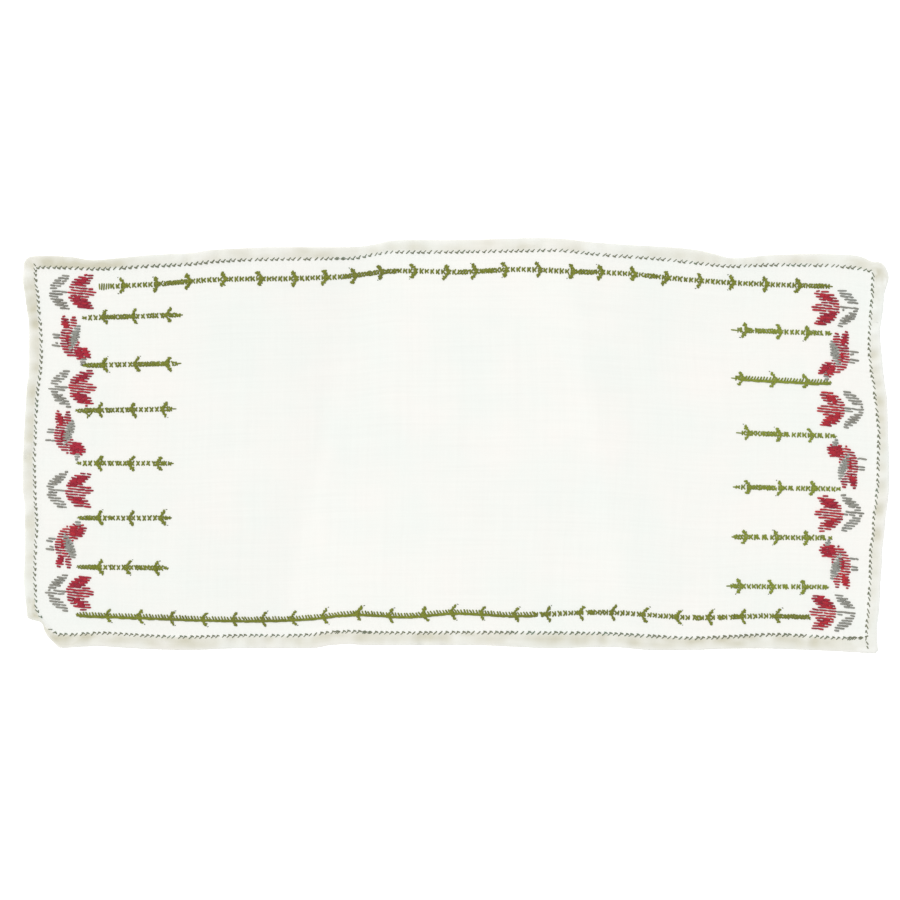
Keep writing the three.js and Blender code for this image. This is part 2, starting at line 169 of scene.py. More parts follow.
edge_corners = [
    *BOTTOM_LEFT_FOLD, *edge_between(BOTTOM_SIDE, -350, 365, True),
    *BOTTOM_RIGHT_FOLD, *edge_between(RIGHT_SIDE, -170, 140, False),
    *TOP_RIGHT_FOLD, *edge_between(TOP_SIDE, -370, 365, True)[::-1],
    *TOP_LEFT_FOLD, *edge_between(LEFT_SIDE, -150, 155, False)[::-1],
]
folded_edge = closed_path(edge_corners) * MM
edge_marks = ring_marks(folded_edge)
print("the folded edge is", round(edge_marks[-1], 3), "m round")

# %% [markdown]
# ### The linen between the stitches
# Inside the hem stitches the weave is stretched a little to fit four wavy sides.
# A Coons patch does that: it blends the two long sides and the two short ones, and takes away
# the corners that were counted twice. It is also how the warp and weft run, so the same two
# numbers, along and across, will carry the weave pattern later.

# %% The stretched linen
def side_curve(side, t, lengthwise):
    """Points on one line of hem stitches at shares t of its length."""
    places = side[:, 0]
    at = places[0] + (places[-1] - places[0]) * t
    stitches = smooth(places, side[:, 2], at)
    return np.stack([at, stitches] if lengthwise else [stitches, at], axis=-1) * MM


def cloth_point(along, across):
    """Where a thread crossing of the linen lies: along and across run from 0 to 1."""
    u, v = along[..., None], across[..., None]
    low, high = side_curve(BOTTOM_SIDE, along, True), side_curve(TOP_SIDE, along, True)
    left, right = side_curve(LEFT_SIDE, across, False), side_curve(RIGHT_SIDE, across, False)
    ends = np.array([0.0, 1.0])
    (a, b), (c, d) = side_curve(BOTTOM_SIDE, ends, True), side_curve(TOP_SIDE, ends, True)
    corners = (1 - v) * ((1 - u) * a + u * b) + v * ((1 - u) * c + u * d)
    return (1 - v) * low + v * high + (1 - u) * left + u * right - corners


LINEN_LENGTH = 0.746
LINEN_WIDTH = 0.333
middle = cloth_point(np.array([0.5]), np.array([0.5]))[0]
print("the middle of the weave lies at", middle.round(4))

# %% [markdown]
# ### Heights
# Linen that has been folded in three keeps two soft ridges, and between them it rises and sinks
# by a fraction of a millimetre. `linen_height` gives the middle of the cloth's thickness.
# The stitches are seated with the same function, so they can't float or sink.

# %% The height of the linen
THICKNESS = 0.42 * MM
LINEN_REST = 0.42 * MM
# Each row: x of the crease at the top, the middle and the bottom, its height and its half width.
CREASES = np.array([(-87, -110, -142, 0.55, 9), (112, 127, 148, 0.45, 9)])
CREASE_SPAN = 150 * MM
CREASE_FADE = 1.1
SWELL_HEIGHT = 0.35 * MM
STITCH_LINE_HEIGHT = 0.95 * MM
RIM = 5 * MM


def swell(x, y):
    """The gentle unevenness of laid linen, from 0 to 1."""
    waves = np.sin(x * 31 + 1.3 * np.sin(y * 23)) * np.cos(y * 37 + 1.1 * np.sin(x * 17))
    ripples = np.sin(x * 83 + y * 29 + 2) * np.sin(y * 71 - x * 19)
    return 0.5 + 0.32 * waves + 0.18 * ripples


def crease_height(x, y):
    """The two folding ridges, which fade out towards the long hems."""
    t = y / CREASE_SPAN
    fading = np.clip(CREASE_FADE - np.abs(t), 0, 1)
    total = np.zeros_like(x)
    for top, mid, low, height, width in CREASES * MM:
        line = mid + (top - low) / 2 * t + ((top + low) / 2 - mid) * t * t
        total += height * np.exp(-(((x - line) / width) ** 2)) * fading
    return total


def linen_height(x, y):
    """The middle of the linen's thickness, away from the hem."""
    return LINEN_REST + SWELL_HEIGHT * swell(x, y) + crease_height(x, y)


height_in_middle = linen_height(np.zeros(1), np.zeros(1))[0]
print("the linen lies", round(height_in_middle / MM, 2), "mm up in its middle")

# %% [markdown]
# ## The sheet of linen
# It could be a box with a picture on it, but then its hem and folds would be flat.
# Here a grid is laid on the linen between the stitches, one vertex every 3 mm,
# and its rim is then extruded again and again along the section of a real hem:
# out over the top, round the fold, back underneath, and in between the two layers.

# %% Lay the grid
def deselect_everything():
    """Nothing stays selected, not even the frame's own node."""
    if bpy.context.object and bpy.context.object.mode != "OBJECT":
        bpy.ops.object.mode_set(mode="OBJECT")
    bpy.ops.object.select_all(action="DESELECT")


def select_only(piece):
    deselect_everything()
    piece.select_set(True)
    bpy.context.view_layer.objects.active = piece


def read_points(mesh):
    """All vertices of a mesh as rows of x, y, z."""
    points = np.empty(len(mesh.vertices) * 3)
    mesh.vertices.foreach_get("co", points)
    return points.reshape(-1, 3)


def write_points(mesh, points):
    mesh.vertices.foreach_set("co", points.ravel())
    mesh.update()


COLUMNS, ROWS = 248, 110
deselect_everything()
bpy.ops.mesh.primitive_grid_add(x_subdivisions=COLUMNS, y_subdivisions=ROWS, size=1)
linen = bpy.context.object
linen.name = "linen_cloth"
share = read_points(linen.data)[:, :2] + 0.5
flat = cloth_point(share[:, 0], share[:, 1])
from_rim = np.minimum.reduce([
    share[:, 0] * LINEN_LENGTH, (1 - share[:, 0]) * LINEN_LENGTH,
    share[:, 1] * LINEN_WIDTH, (1 - share[:, 1]) * LINEN_WIDTH,
])
drop = np.clip(1 - from_rim / RIM, 0, 1) ** 1.5
height = linen_height(flat[:, 0], flat[:, 1]) * (1 - drop) + STITCH_LINE_HEIGHT * drop
write_points(linen.data, np.column_stack([flat, height]))
print(len(linen.data.vertices), "vertices lie between the stitches")

# %% [markdown]
# ### Which point of the fold belongs to which stitch
# On a straight side the folded edge lies straight out from its stitch. Round a corner the edge
# is longer than the stitch line, so there its points are spread evenly along the edge instead.

# %% Pair the rim with the folded edge
CORNER_REACH = 42 * MM
CORNER_HEM = 8 * MM
bottom_row = [(i / COLUMNS, 0) for i in range(COLUMNS)]
right_row = [(1, j / ROWS) for j in range(ROWS)]
top_row = [(i / COLUMNS, 1) for i in range(COLUMNS, 0, -1)]
left_row = [(0, j / ROWS) for j in range(ROWS, 0, -1)]
rim_share = np.array(bottom_row + right_row + top_row + left_row)
rim = cloth_point(rim_share[:, 0], rim_share[:, 1])
corner_at = np.array([0, COLUMNS, COLUMNS + ROWS, 2 * COLUMNS + ROWS])
outward = np.array([(-1, -1), (1, -1), (1, 1), (-1, 1)]) * CORNER_HEM

anchors = np.flatnonzero(gaps(rim, rim[corner_at]).min(axis=1) > CORNER_REACH)
known = np.concatenate([anchors, corner_at])
pulled_to = np.concatenate([rim[anchors], rim[corner_at] + outward])
reach = edge_marks[nearest(pulled_to, folded_edge)]
order = np.argsort(known)
edge_length = edge_marks[-1]
known, reach = known[order], np.unwrap(reach[order], period=edge_length)
loop = len(rim)
known, reach = np.append(known, loop), np.append(reach, reach[0] + edge_length)
rim_edge = place_on_ring(folded_edge, edge_marks, np.interp(np.arange(loop), known, reach))
hem_widths = np.linalg.norm(rim_edge - rim, axis=1)
print("hem", round(hem_widths.mean() / MM, 1), "mm wide on average")

# %% [markdown]
# ### Extrude the hem
# Each row of the section says how far out the next ring lies, as a share of the hem's width,
# and how high. The hem's stitches gather it a little, so its height wavers along the edge.

# %% The section of the hem
# Each row: share of the hem's width, height in millimetres, and how much the gathers lift it.
HEM_SECTION = [
    (0.10, 1.14, 0.4), (0.24, 1.30, 0.8), (0.42, 1.36, 1.0), (0.62, 1.35, 1.0), (0.80, 1.26, 0.9),
    (0.92, 1.10, 0.7), (0.98, 0.86, 0.5), (1.00, 0.62, 0.3), (0.97, 0.38, 0.1), (0.88, 0.25, 0),
    (0.60, 0.23, 0), (0.30, 0.23, 0), (0.08, 0.25, 0), (-0.02, 0.45, 0), (0.07, 0.69, 0.2),
    (0.40, 0.78, 0.4), (0.84, 0.76, 0.4),
]
# Each row: one side of the hem in the rim's order, how grey its painted shade makes it, how much
# painted light pales it at its fold, how puckered it is, and how far out its stitches lie, in
# millimetres.
HEM_SIDES = [
    ("bottom", 0.63, 0.85, 1.0, 0.5),
    ("right", 0.52, 1.15, 1.7, 0.65),
    ("top", 0.46, 0.6, 0.9, 0.2),
    ("left", 0.66, 0.6, 2.1, -0.15),
]
PUCKER_HEIGHT = 0.3 * MM
BLEND_AT_CORNERS = 7


def round_the_rim(values):
    """One value for each side, as one for each place on the rim, blended at the corners."""
    stepped = np.repeat(values, (COLUMNS, ROWS, COLUMNS, ROWS)).astype(float)
    k = BLEND_AT_CORNERS
    padded = np.concatenate([stepped[-k:], stepped, stepped[:k]])
    return np.convolve(padded, np.full(2 * k + 1, 1 / (2 * k + 1)), mode="valid")


def uneven_wave(count, push, slow):
    """A wave that goes round the rim count times, pushed to and fro by a slower one."""
    return np.sin(turns * count + push * np.sin(turns * slow))


_, side_painted_shade, side_fold_highlight, side_puckers, side_outwards = zip(*HEM_SIDES)
rim_marks = ring_marks(rim)
turns = math.tau * rim_marks[:-1] / rim_marks[-1]
puckers = uneven_wave(131, 3, 9) + 0.8 * uneven_wave(83, 2.2, 5)
puckers *= (0.75 + 0.5 * np.sin(turns * 13 + 1)) * round_the_rim(side_puckers)


def extrude_rim(piece, old_ring, new_ring):
    """Extrudes the selected open edge and moves each new vertex from the old ring to the new one."""
    bpy.ops.object.mode_set(mode="EDIT")
    bpy.ops.mesh.extrude_edges_move()
    bpy.ops.object.mode_set(mode="OBJECT")
    mesh = piece.data
    chosen = np.empty(len(mesh.vertices), bool)
    mesh.vertices.foreach_get("select", chosen)
    points = read_points(mesh)
    new = np.flatnonzero(chosen)
    points[new] = new_ring[nearest(points[new], old_ring)]
    write_points(mesh, points)


select_only(linen)
bpy.ops.object.mode_set(mode="EDIT")
bpy.ops.mesh.select_mode(type="EDGE")
bpy.ops.mesh.select_all(action="SELECT")
bpy.ops.mesh.region_to_loop()
current = np.column_stack([rim, np.full(loop, STITCH_LINE_HEIGHT)])
lift = PUCKER_HEIGHT * puckers
for out, height_mm, gathered in HEM_SECTION:
    place = rim + (rim_edge - rim) * out
    next_ring = np.column_stack([place, height_mm * MM + gathered * lift])
    extrude_rim(linen, current, next_ring)
    current = next_ring
bpy.ops.object.mode_set(mode="OBJECT")
print(len(linen.data.vertices), "vertices with the hem")

# %% [markdown]
# ### Carry the weave on the sheet
# A weave drawn on plain x and y would run straight through the wavy sides. So every vertex keeps
# its own place in the cloth as an attribute: how far along, how far across, and how much painted
# shade greys it as hem. That painted shade differs from side to side and from spot to spot, because
# the thick fold catches more light in some places than in others. It is deeper in the puckers'
# hollows, and painted light pales it at the fold.

# %% Store each vertex's place in the cloth
HEM_EDGE = 1.6 * MM
GREY_PATCHES = 0.16
# Painted shade in the hollows of the puckers, and painted light on their crests.
PUCKER_PAINTED_SHADE = 0.13
# Each row: where the hem has painted shade, or painted light if negative, in millimetres, over what
# reach, and by how much.
HEM_SHADE_SPOTS = [
    (-322, 162, 12, 0.55), (-330, 166, 45, 0.3), (-385, 166, 12, -0.1), (360, 168, 10, 0.35),
    (382, 160, 17, 0.5), (240, -180, 90, 0.22), (395, 0, 60, 0.2), (392, 110, 40, -0.15),
    (392, -130, 40, -0.25), (-384, -110, 45, -0.25), (-352, -176, 14, 0.2), (150, 180, 30, -0.25),
    (-384, 115, 30, 0.3), (330, 168, 50, -0.15), (-380, -152, 10, 0.9),
    (-348, 166, 18, 0.9), (0, -174, 50, 0.15),
]


def store(mesh, name, values):
    """Keeps a number, or a row of three, for each vertex of a mesh."""
    kind, field = ("FLOAT", "value") if values.ndim == 1 else ("FLOAT_VECTOR", "vector")
    mesh.attributes.new(name, kind, "POINT").data.foreach_set(field, values.ravel())


def sum_of_spots(places, spots):
    """What a table of spots adds up to at each place."""
    total = np.zeros(len(places))
    for x, y, spot_reach, amount in spots:
        from_spot = np.linalg.norm(places - (x * MM, y * MM), axis=1)
        total += amount * np.exp(-(from_spot / (spot_reach * MM)) ** 2)
    return total


place_in_cloth = np.zeros((len(linen.data.vertices), 3))
inside = len(share)
place_in_cloth[:inside, :2] = share * (LINEN_LENGTH, LINEN_WIDTH)

patches = uneven_wave(17, 2.1, 4) + 0.6 * uneven_wave(41, 1.7, 11)
# The hem's painted shade: each side's own, uneven in patches, deeper in the puckers' hollows and
# paler on their crests, with spots of painted shade or light.
grey = round_the_rim(side_painted_shade) * (1 + GREY_PATCHES * patches - PUCKER_PAINTED_SHADE * puckers)
grey += sum_of_spots((rim + rim_edge) / 2, HEM_SHADE_SPOTS)

outer = read_points(linen.data)[inside:, :2]
stations = nearest(outer, rim_edge)
rim_place = rim_share * (LINEN_LENGTH, LINEN_WIDTH)
place_in_cloth[inside:, :2] = rim_place[stations] + outer - rim[stations]
beyond = np.linalg.norm(outer - rim[stations], axis=1)
far_out = np.clip(beyond / hem_widths[stations], 0, 1)
# Painted light pales the hem towards its folded edge.
painted_fold_highlight = 1 - round_the_rim(side_fold_highlight)[stations] * far_out ** 3
place_in_cloth[inside:, 2] = grey[stations] * np.clip(beyond / HEM_EDGE, 0, 1) * painted_fold_highlight

store(linen.data, "weave", place_in_cloth)
print("hem share from", place_in_cloth[:, 2].min(), "to", round(float(place_in_cloth[:, 2].max()), 2))

# %% [markdown]
# ### Give the sheet its thickness
# Solidify thickens the single layer on both sides, which also closes the raw edge inside the hem.
# It is applied, so that the mesh itself holds the thickness.

# %% Thicken and smooth
def apply_modifier(piece, modifier):
    select_only(piece)
    bpy.ops.object.modifier_apply(modifier=modifier.name)


def triangles(piece):
    return sum(len(face.vertices) - 2 for face in piece.data.polygons)


thickener = linen.modifiers.new("thickness", "SOLIDIFY")
thickener.thickness = THICKNESS
thickener.offset = 0
apply_modifier(linen, thickener)
bpy.ops.object.shade_smooth()
bpy.ops.object.mode_set(mode="EDIT")
bpy.ops.mesh.select_all(action="SELECT")
bpy.ops.mesh.normals_make_consistent(inside=False)
bpy.ops.object.mode_set(mode="OBJECT")
dimensions = [round(side, 4) for side in linen.dimensions]
print("the sheet has", triangles(linen), "triangles and is", dimensions, "m")

# %% [markdown]
# ## Materials as sums
# A material is a small circuit of nodes. To read it like arithmetic, one class wraps a socket
# and turns each sign into a Math node. All other nodes come from one method, which takes
# the node's type, its settings and what goes into its sockets.

# %% The material helpers
def sign(operation, turned_round=False):
    """A method of a wire that adds one Math node."""
    def step(wire, *others):
        values = (*others, wire) if turned_round else (wire, *others)
        return wire.paint.node("Math", {"operation": operation}, dict(enumerate(values)))
    return step


class Wire:
    """One number in a material. Each sign between wires adds a Math node."""

    def __init__(self, paint, socket):
        self.paint = paint
        self.socket = socket

    __add__ = __radd__ = sign("ADD")
    __sub__ = sign("SUBTRACT")
    __rsub__ = sign("SUBTRACT", turned_round=True)
    __mul__ = __rmul__ = sign("MULTIPLY")
    __pow__ = sign("POWER")
    __gt__ = sign("GREATER_THAN")
    sine = sign("SINE")
    size = sign("ABSOLUTE")


class Paint:
    """A material that is being built."""

    def __init__(self, name):
        self.material = bpy.data.materials.new(name)
        self.material.use_nodes = True
        self.tree = self.material.node_tree
        self.tree.nodes.clear()

    def node(self, kind, settings, inputs, outputs=0):
        """A node's output as a wire, or several outputs as a list of wires."""
        made = self.tree.nodes.new("ShaderNode" + kind)
        for name, value in settings.items():
            setattr(made, name, value)
        for name, value in inputs.items():
            if isinstance(value, Wire):
                self.tree.links.new(value.socket, made.inputs[name])
            else:
                made.inputs[name].default_value = value
        if isinstance(outputs, (list, tuple)):
            return [Wire(self, made.outputs[name]) for name in outputs]
        return Wire(self, made.outputs[outputs]) if made.outputs else None

    def mix(self, share, first, second):
        """A colour between two others."""
        return self.node("Mix", {"data_type": "RGBA"}, {0: share, 6: first, 7: second}, 2)

    def tint(self, colour, brightness):
        """A colour made brighter or darker by a wire."""
        grey = self.node("CombineXYZ", {}, {0: brightness, 1: brightness, 2: brightness})
        return self.scaled(colour, grey)

    def noise(self, place, scale, detail=2.0, roughness=0.5):
        """Soft noise round 0, from about -1 to 1."""
        inputs = {"Vector": place, "Scale": scale, "Detail": detail, "Roughness": roughness}
        return self.node("TexNoise", {}, inputs) * 2 - 1

    def drawn_out(self, place, factors, detail=2.0, roughness=0.5):
        """Noise with its own size in each direction, so that it can follow a thread."""
        return self.noise(self.scaled(place, factors), 1.0, detail, roughness)

    def scaled(self, place, factors):
        """A place or a colour with each of its parts multiplied by its own factor."""
        return self.node("VectorMath", {"operation": "MULTIPLY"}, {0: place, 1: factors})

    def bump(self, height, depth, strength=1.0):
        return self.node("Bump", {}, {"Strength": strength, "Distance": depth, "Height": height})

    def finish(self, inputs):
        """Ends the material in one Principled shader."""
        shader = self.node("BsdfPrincipled", {}, inputs)
        self.node("OutputMaterial", {}, {"Surface": shader})
        return self.material


def paint_colour(red, green, blue):
    """A colour given as it looks on a screen, 0 to 255, as Blender wants it."""
    return tuple((part / 255) ** 2.2 for part in (red, green, blue)) + (1.0,)


print("material helpers ready")

# %% [markdown]
# ### Washed linen
# Plain weave is a chequerboard of threads, each over one and under the next. Two sine waves
# give the threads, and the sign of their product says which one lies on top. Linen yarn is
# uneven, so noise drawn out along each thread makes it thicker, thinner, lighter and darker.
# The hem is three layers thick and lets no light back through, so it looks greyer.
# A pressed fold gets painted light on one side and painted shade on the other.

# %% The linen's material
THREAD_PITCH = 0.64 * MM
# Each row: where a pressed fold meets the bottom of the cloth, in metres, its slant and its painted
# shading.
FOLD_PAINTED_SHADING = [(0.22, 0.226, 0.022), (0.539, -0.208, -0.014)]
FOLD_PAINTED_SHADING_WIDTH = 16 * MM
LINEN_WHITE = paint_colour(245, 248, 243)
LINEN_WARM = paint_colour(249, 247, 242)
# The grey that the painted shade gives the hem.
LINEN_SHADE_GREY = paint_colour(211, 208, 188)


def linen_paint():
    paint = Paint("washed_linen")
    woven = paint.node("Attribute", {"attribute_name": "weave"}, {}, "Vector")
    along, across, hem = paint.node("SeparateXYZ", {}, {0: woven}, (0, 1, 2))
    place = paint.scaled(woven, (1, 1, 0))

    warp = (along * (math.pi / THREAD_PITCH)).sine()
    weft = (across * (math.pi / THREAD_PITCH)).sine()
    warp_on_top = warp * weft > 0
    warp_ridge = warp.size() * weft.size() ** 0.5
    weft_ridge = weft.size() * warp.size() ** 0.5
    weave = warp_on_top * warp_ridge + (1 - warp_on_top) * weft_ridge

    weft_slubs = paint.drawn_out(place, (14, 1300, 1), 3.0, 0.6)
    warp_slubs = paint.drawn_out(place, (1300, 14, 1), 3.0, 0.6)
    slubs = weft_slubs * 0.6 + warp_slubs * 0.5
    weft_bars = paint.drawn_out(place, (9, 420, 1))
    warp_bars = paint.drawn_out(place, (300, 7, 1))
    cloudy = paint.noise(place, 14.0, 3.0, 0.55)
    washed = paint.noise(place, 5.0, 3.0, 0.6)
    # The weave term darkens the gaps between threads as painted shade. The other terms are the yarn's
    # own unevenness.
    brightness = 0.972 + weave * 0.028 + slubs * 0.028 + weft_bars * 0.022 + warp_bars * 0.016
    brightness = brightness + cloudy * 0.014 + washed * 0.024
    # Painted light on one side of each pressed fold and painted shade on the other.
    for x, slant, shade in FOLD_PAINTED_SHADING:
        beside = (along - across * slant - x) * (1 / FOLD_PAINTED_SHADING_WIDTH)
        brightness = brightness + beside * (1 + beside * beside) ** -1 * shade

    shaded = paint.noise(paint.scaled(place, (1, 1.6, 0)), 45.0, 1.0)
    # Painted shade greys the hem, uneven in patches.
    painted_hem_shade = hem * (0.92 + 0.6 * cloudy + 1.0 * shaded)
    white = paint.mix(0.45 + 0.6 * washed + 1.2 * cloudy, LINEN_WHITE, LINEN_WARM)
    colour = paint.tint(paint.mix(painted_hem_shade, white, LINEN_SHADE_GREY), brightness)

    relief = weave * 0.10 + slubs * 0.05 + cloudy * 0.05
    return paint.finish({
        "Base Color": colour,
        "Roughness": 0.93 - 0.1 * weave,
        "Normal": paint.bump(relief, 1.0 * MM, 0.7),
        "Sheen Weight": 0.08,
        "Sheen Roughness": 0.5,
        "Specular IOR Level": 0.25,
    })


linen.data.materials.append(linen_paint())
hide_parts(CLOTH_NODE)
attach(linen, "root")
print("linen painted")

# %% [markdown]
# ## One stitch
# Every stitch on the runner is the same thing: a short length of cotton that comes up through
# the linen, lies on it and goes down again. It is modelled once, one unit long and one unit thick,
# from a sphere whose rings are widened into a rope and whose ends are pulled down into the cloth.

# %% Model the stitch
# Each row: how far two rings lie from the middle, their radius, and how far they are pulled down.
STITCH_RINGS = [(0.476, 0.30, 0.60), (0.405, 0.43, 0.28), (0.294, 0.49, 0.06), (0.155, 0.50, 0)]
STITCH_TIP_DROP = 0.85
HALF_STITCH = 0.5
RING_GAP = 0.01


def select_ring(piece, x):
    """Selects the vertices of the ring at x, and leaves the piece in edit mode."""
    bpy.ops.object.mode_set(mode="EDIT")
    bpy.ops.mesh.select_mode(type="VERT")
    bpy.ops.mesh.select_all(action="DESELECT")
    bpy.ops.object.mode_set(mode="OBJECT")
    for vertex in piece.data.vertices:
        vertex.select = abs(vertex.co.x - x) < RING_GAP
    bpy.ops.object.mode_set(mode="EDIT")


def model_stitch():
    deselect_everything()
    lying = (0, math.pi / 2, 0)
    bpy.ops.mesh.primitive_uv_sphere_add(
        segments=8, ring_count=10, radius=HALF_STITCH, rotation=lying)
    bpy.ops.object.transform_apply(location=False, rotation=True, scale=False)
    piece = bpy.context.object
    piece.name = "one_stitch"
    for distance, radius, pulled in STITCH_RINGS:
        wider = radius / math.sqrt(HALF_STITCH ** 2 - distance ** 2)
        for x in (-distance, distance):
            select_ring(piece, x)
            bpy.ops.transform.resize(value=(1, wider, wider), center_override=(x, 0, 0))
            bpy.ops.transform.translate(value=(0, 0, -pulled))
    for x in (-HALF_STITCH, HALF_STITCH):
        select_ring(piece, x)
        bpy.ops.transform.translate(value=(0, 0, -STITCH_TIP_DROP))
    bpy.ops.object.mode_set(mode="OBJECT")
    bpy.ops.object.shade_smooth()
    return piece


stitch = model_stitch()
print("one stitch has", triangles(stitch), "triangles")

# %% [markdown]
# ## Sewing
# A worked line is a list of stitches, each from one point to another. They could be copied one
# by one, but there are thousands. So the list becomes a cloud of points that carry each stitch's
# turn and size, and Geometry Nodes puts the modelled stitch on every point and makes it real.

# %% A list of stitches
random = np.random.default_rng(20)


class Sewing:
    """A list of stitches in one colour of thread."""

    def __init__(self):
        self.rows = []

    def add(self, start, end, width, lift=0.0):
        """One stitch between two places, in metres, that lies a little higher by its lift."""
        self.rows.append((*start, *end, width, lift))

    def add_table(self, table, width):
        """Stitches from a table of their two ends, in millimetres."""
        for start, end in table:
            self.add(np.array(start) * MM, np.array(end) * MM, width)


def cloth_top(x, y):
    """The top of the linen between the hems."""
    return linen_height(x, y) + THICKNESS / 2


print("the thread is ready")

# %% [markdown]
# ### The nodes that sew
# The group is small: the points come in, each gets an instance of the stitch, turned and sized
# by the point's own attributes, and the instances become one real mesh.

# %% Build the node group
SEWING_NODES = {
    "start": "NodeGroupInput",
    "stitch": "GeometryNodeObjectInfo",
    "turn": "GeometryNodeInputNamedAttribute",
    "size": "GeometryNodeInputNamedAttribute",
    "place": "GeometryNodeInstanceOnPoints",
    "real": "GeometryNodeRealizeInstances",
    "end": "NodeGroupOutput",
}
# Each row: a node and its output, and the node and the input that it goes to.
SEWING_LINKS = [
    ("start", 0, "place", "Points"), ("stitch", "Geometry", "place", "Instance"),
    ("turn", "Attribute", "place", "Rotation"), ("size", "Attribute", "place", "Scale"),
    ("place", "Instances", "real", "Geometry"), ("real", "Geometry", "end", 0),
]


def sewing_group():
    """The node group that puts the stitch on every point."""
    group = bpy.data.node_groups.new("sew", "GeometryNodeTree")
    for way in ("INPUT", "OUTPUT"):
        group.interface.new_socket("Geometry", in_out=way, socket_type="NodeSocketGeometry")
    nodes = {name: group.nodes.new(kind) for name, kind in SEWING_NODES.items()}
    nodes["stitch"].inputs["Object"].default_value = stitch
    for name in ("turn", "size"):
        nodes[name].data_type = "FLOAT_VECTOR"
        nodes[name].inputs["Name"].default_value = name
    for source, output, target, taken_by in SEWING_LINKS:
        group.links.new(nodes[source].outputs[output], nodes[target].inputs[taken_by])
    return group


sew_group = sewing_group()
print("the sewing group has", len(sew_group.nodes), "nodes")

# %% [markdown]
# ### From a list to a piece
# Each stitch is seated on the cloth below its middle. A stitch that lies over others is lifted,
# and it catches more light, so its lift also goes into its shade as a painted highlight.

# %% Sew a list of stitches
FLATTENING = 0.78
SEAT = 0.3
LIFT_FOR_LIGHT = 0.3 * MM


def sew(name, sewing, material, ground=cloth_top):
    """Turns a list of stitches into one piece."""
    rows = np.array(sewing.rows)
    start, end, width, lift = rows[:, 0:2], rows[:, 2:4], rows[:, 4], rows[:, 5]
    middle_of = (start + end) / 2
    way = end - start
    length = np.linalg.norm(way, axis=1)
    height = ground(middle_of[:, 0], middle_of[:, 1]) + width * SEAT + lift
    mesh = bpy.data.meshes.new(name)
    mesh.vertices.add(len(rows))
    mesh.vertices.foreach_set("co", np.column_stack([middle_of, height]).ravel())
    turn = np.zeros((len(rows), 3))
    turn[:, 2] = np.arctan2(way[:, 1], way[:, 0])
    size = np.column_stack([length + width, width, width * FLATTENING])
    # Random unevenness of the dye, plus a painted highlight on stitches that lie higher.
    shade = random.uniform(-1, 1, len(rows)) + lift / LIFT_FOR_LIGHT
    stored = {"turn": turn, "size": size, "reach": length + width, "shade": shade}
    for attribute, values in stored.items():
        store(mesh, attribute, values)
    piece = bpy.data.objects.new(name, mesh)
    bpy.context.scene.collection.objects.link(piece)
    sewer = piece.modifiers.new("sew", "NODES")
    sewer.node_group = sew_group
    apply_modifier(piece, sewer)
    piece.data.materials.clear()
    piece.data.materials.append(material)
    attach(piece, "root")
    print(name, "has", len(rows), "stitches and", triangles(piece), "triangles")


print("ready to sew")

# %% [markdown]
# ### Stranded cotton
# Embroidery cotton is a few soft strands with a slight twist. The stitch's own unwrapping says
# where a point lies along it and around it, so stripes can wind round each stitch at one pitch,
# however long it is, with painted shade in the grooves between the strands. Each stitch also has
# its own shade: thread takes dye unevenly, and a raised stitch gets a painted highlight.

# %% The threads' material
TWIST_PITCH = 2.3 * MM
STRANDS = 2


def cotton_paint(name, main, dark_for_shade_and_dye, drift):
    paint = Paint(name)
    unwrapped = paint.node("UVMap", {"uv_map": "UVMap"}, {})
    around, along, _ = paint.node("SeparateXYZ", {}, {0: unwrapped}, (0, 1, 2))
    reach = paint.node("Attribute", {"attribute_name": "reach"}, {}, "Fac")
    shade = paint.node("Attribute", {"attribute_name": "shade"}, {}, "Fac")
    place = paint.node("TexCoord", {}, {}, "Object")

    distance = along * reach
    strand = ((distance * (1 / TWIST_PITCH) + around) * (math.tau * STRANDS)).sine()
    fibres = paint.drawn_out(unwrapped, (26, 3, 1))
    fuzz = paint.noise(place, 2600.0, 2.0)
    worn = paint.noise(place, 90.0, 2.0)

    # Painted shade between strands, each stitch's dye, its painted highlight when raised, wear and
    # fibres.
    share = 0.58 + 0.2 * strand + 0.24 * shade + 0.14 * worn + 0.1 * fibres
    drifting = paint.noise(place, 16.0, 2.0) * 1.6 + 0.25 * shade
    cotton = paint.mix(share, dark_for_shade_and_dye, paint.mix(drifting, main, drift))
    colour = paint.tint(cotton, 1 + 0.05 * fuzz)
    relief = 0.5 * strand + 0.22 * fibres + 0.12 * fuzz
    return paint.finish({
        "Base Color": colour,
        "Roughness": 0.62 + 0.12 * worn,
        "Normal": paint.bump(relief, 0.14 * MM, 0.8),
        "Sheen Weight": 0.25,
        "Sheen Roughness": 0.45,
        "Specular IOR Level": 0.35,
    })


# Each row: the usual colour, the darker one painted between strands as shade and used on unevenly
# dyed stitches, and the one it drifts to in places.
COTTONS = {
    "green": ((132, 140, 44), (84, 92, 24), (120, 123, 48)),
    "bright_green": ((142, 154, 54), (95, 108, 32), (128, 136, 52)),
    "red": ((182, 36, 58), (78, 14, 42), (196, 44, 48)),
    "grey": ((156, 154, 144), (112, 111, 104), (143, 147, 142)),
    "dark": ((132, 135, 112), (100, 104, 82), (108, 138, 120)),
}
cottons = {
    name: cotton_paint(name + "_cotton", *[paint_colour(*colour) for colour in colours])
    for name, colours in COTTONS.items()
}
print(len(cottons), "cottons mixed")

# %% [markdown]
# ## The hem's stitches
# The hem is held by a slanted stitch every 5 mm, worked clockwise, four in five of them with a
# short back stitch at the foot. They follow the rim of the linen, which is already known as
# a ring of points, so a walk round that ring at an even pitch gives each stitch its place, its
# direction and its way out. Stitches pile up in a few places, and at one corner they pause.

# %% The hem's figures
HEM_PITCH = 4.9 * MM
HEM_THREAD = 1.0 * MM
HEM_UNEVEN = (0.85, 1.15)
LOOSE = 0.12
FOOT_LEFT_OUT = 0.2
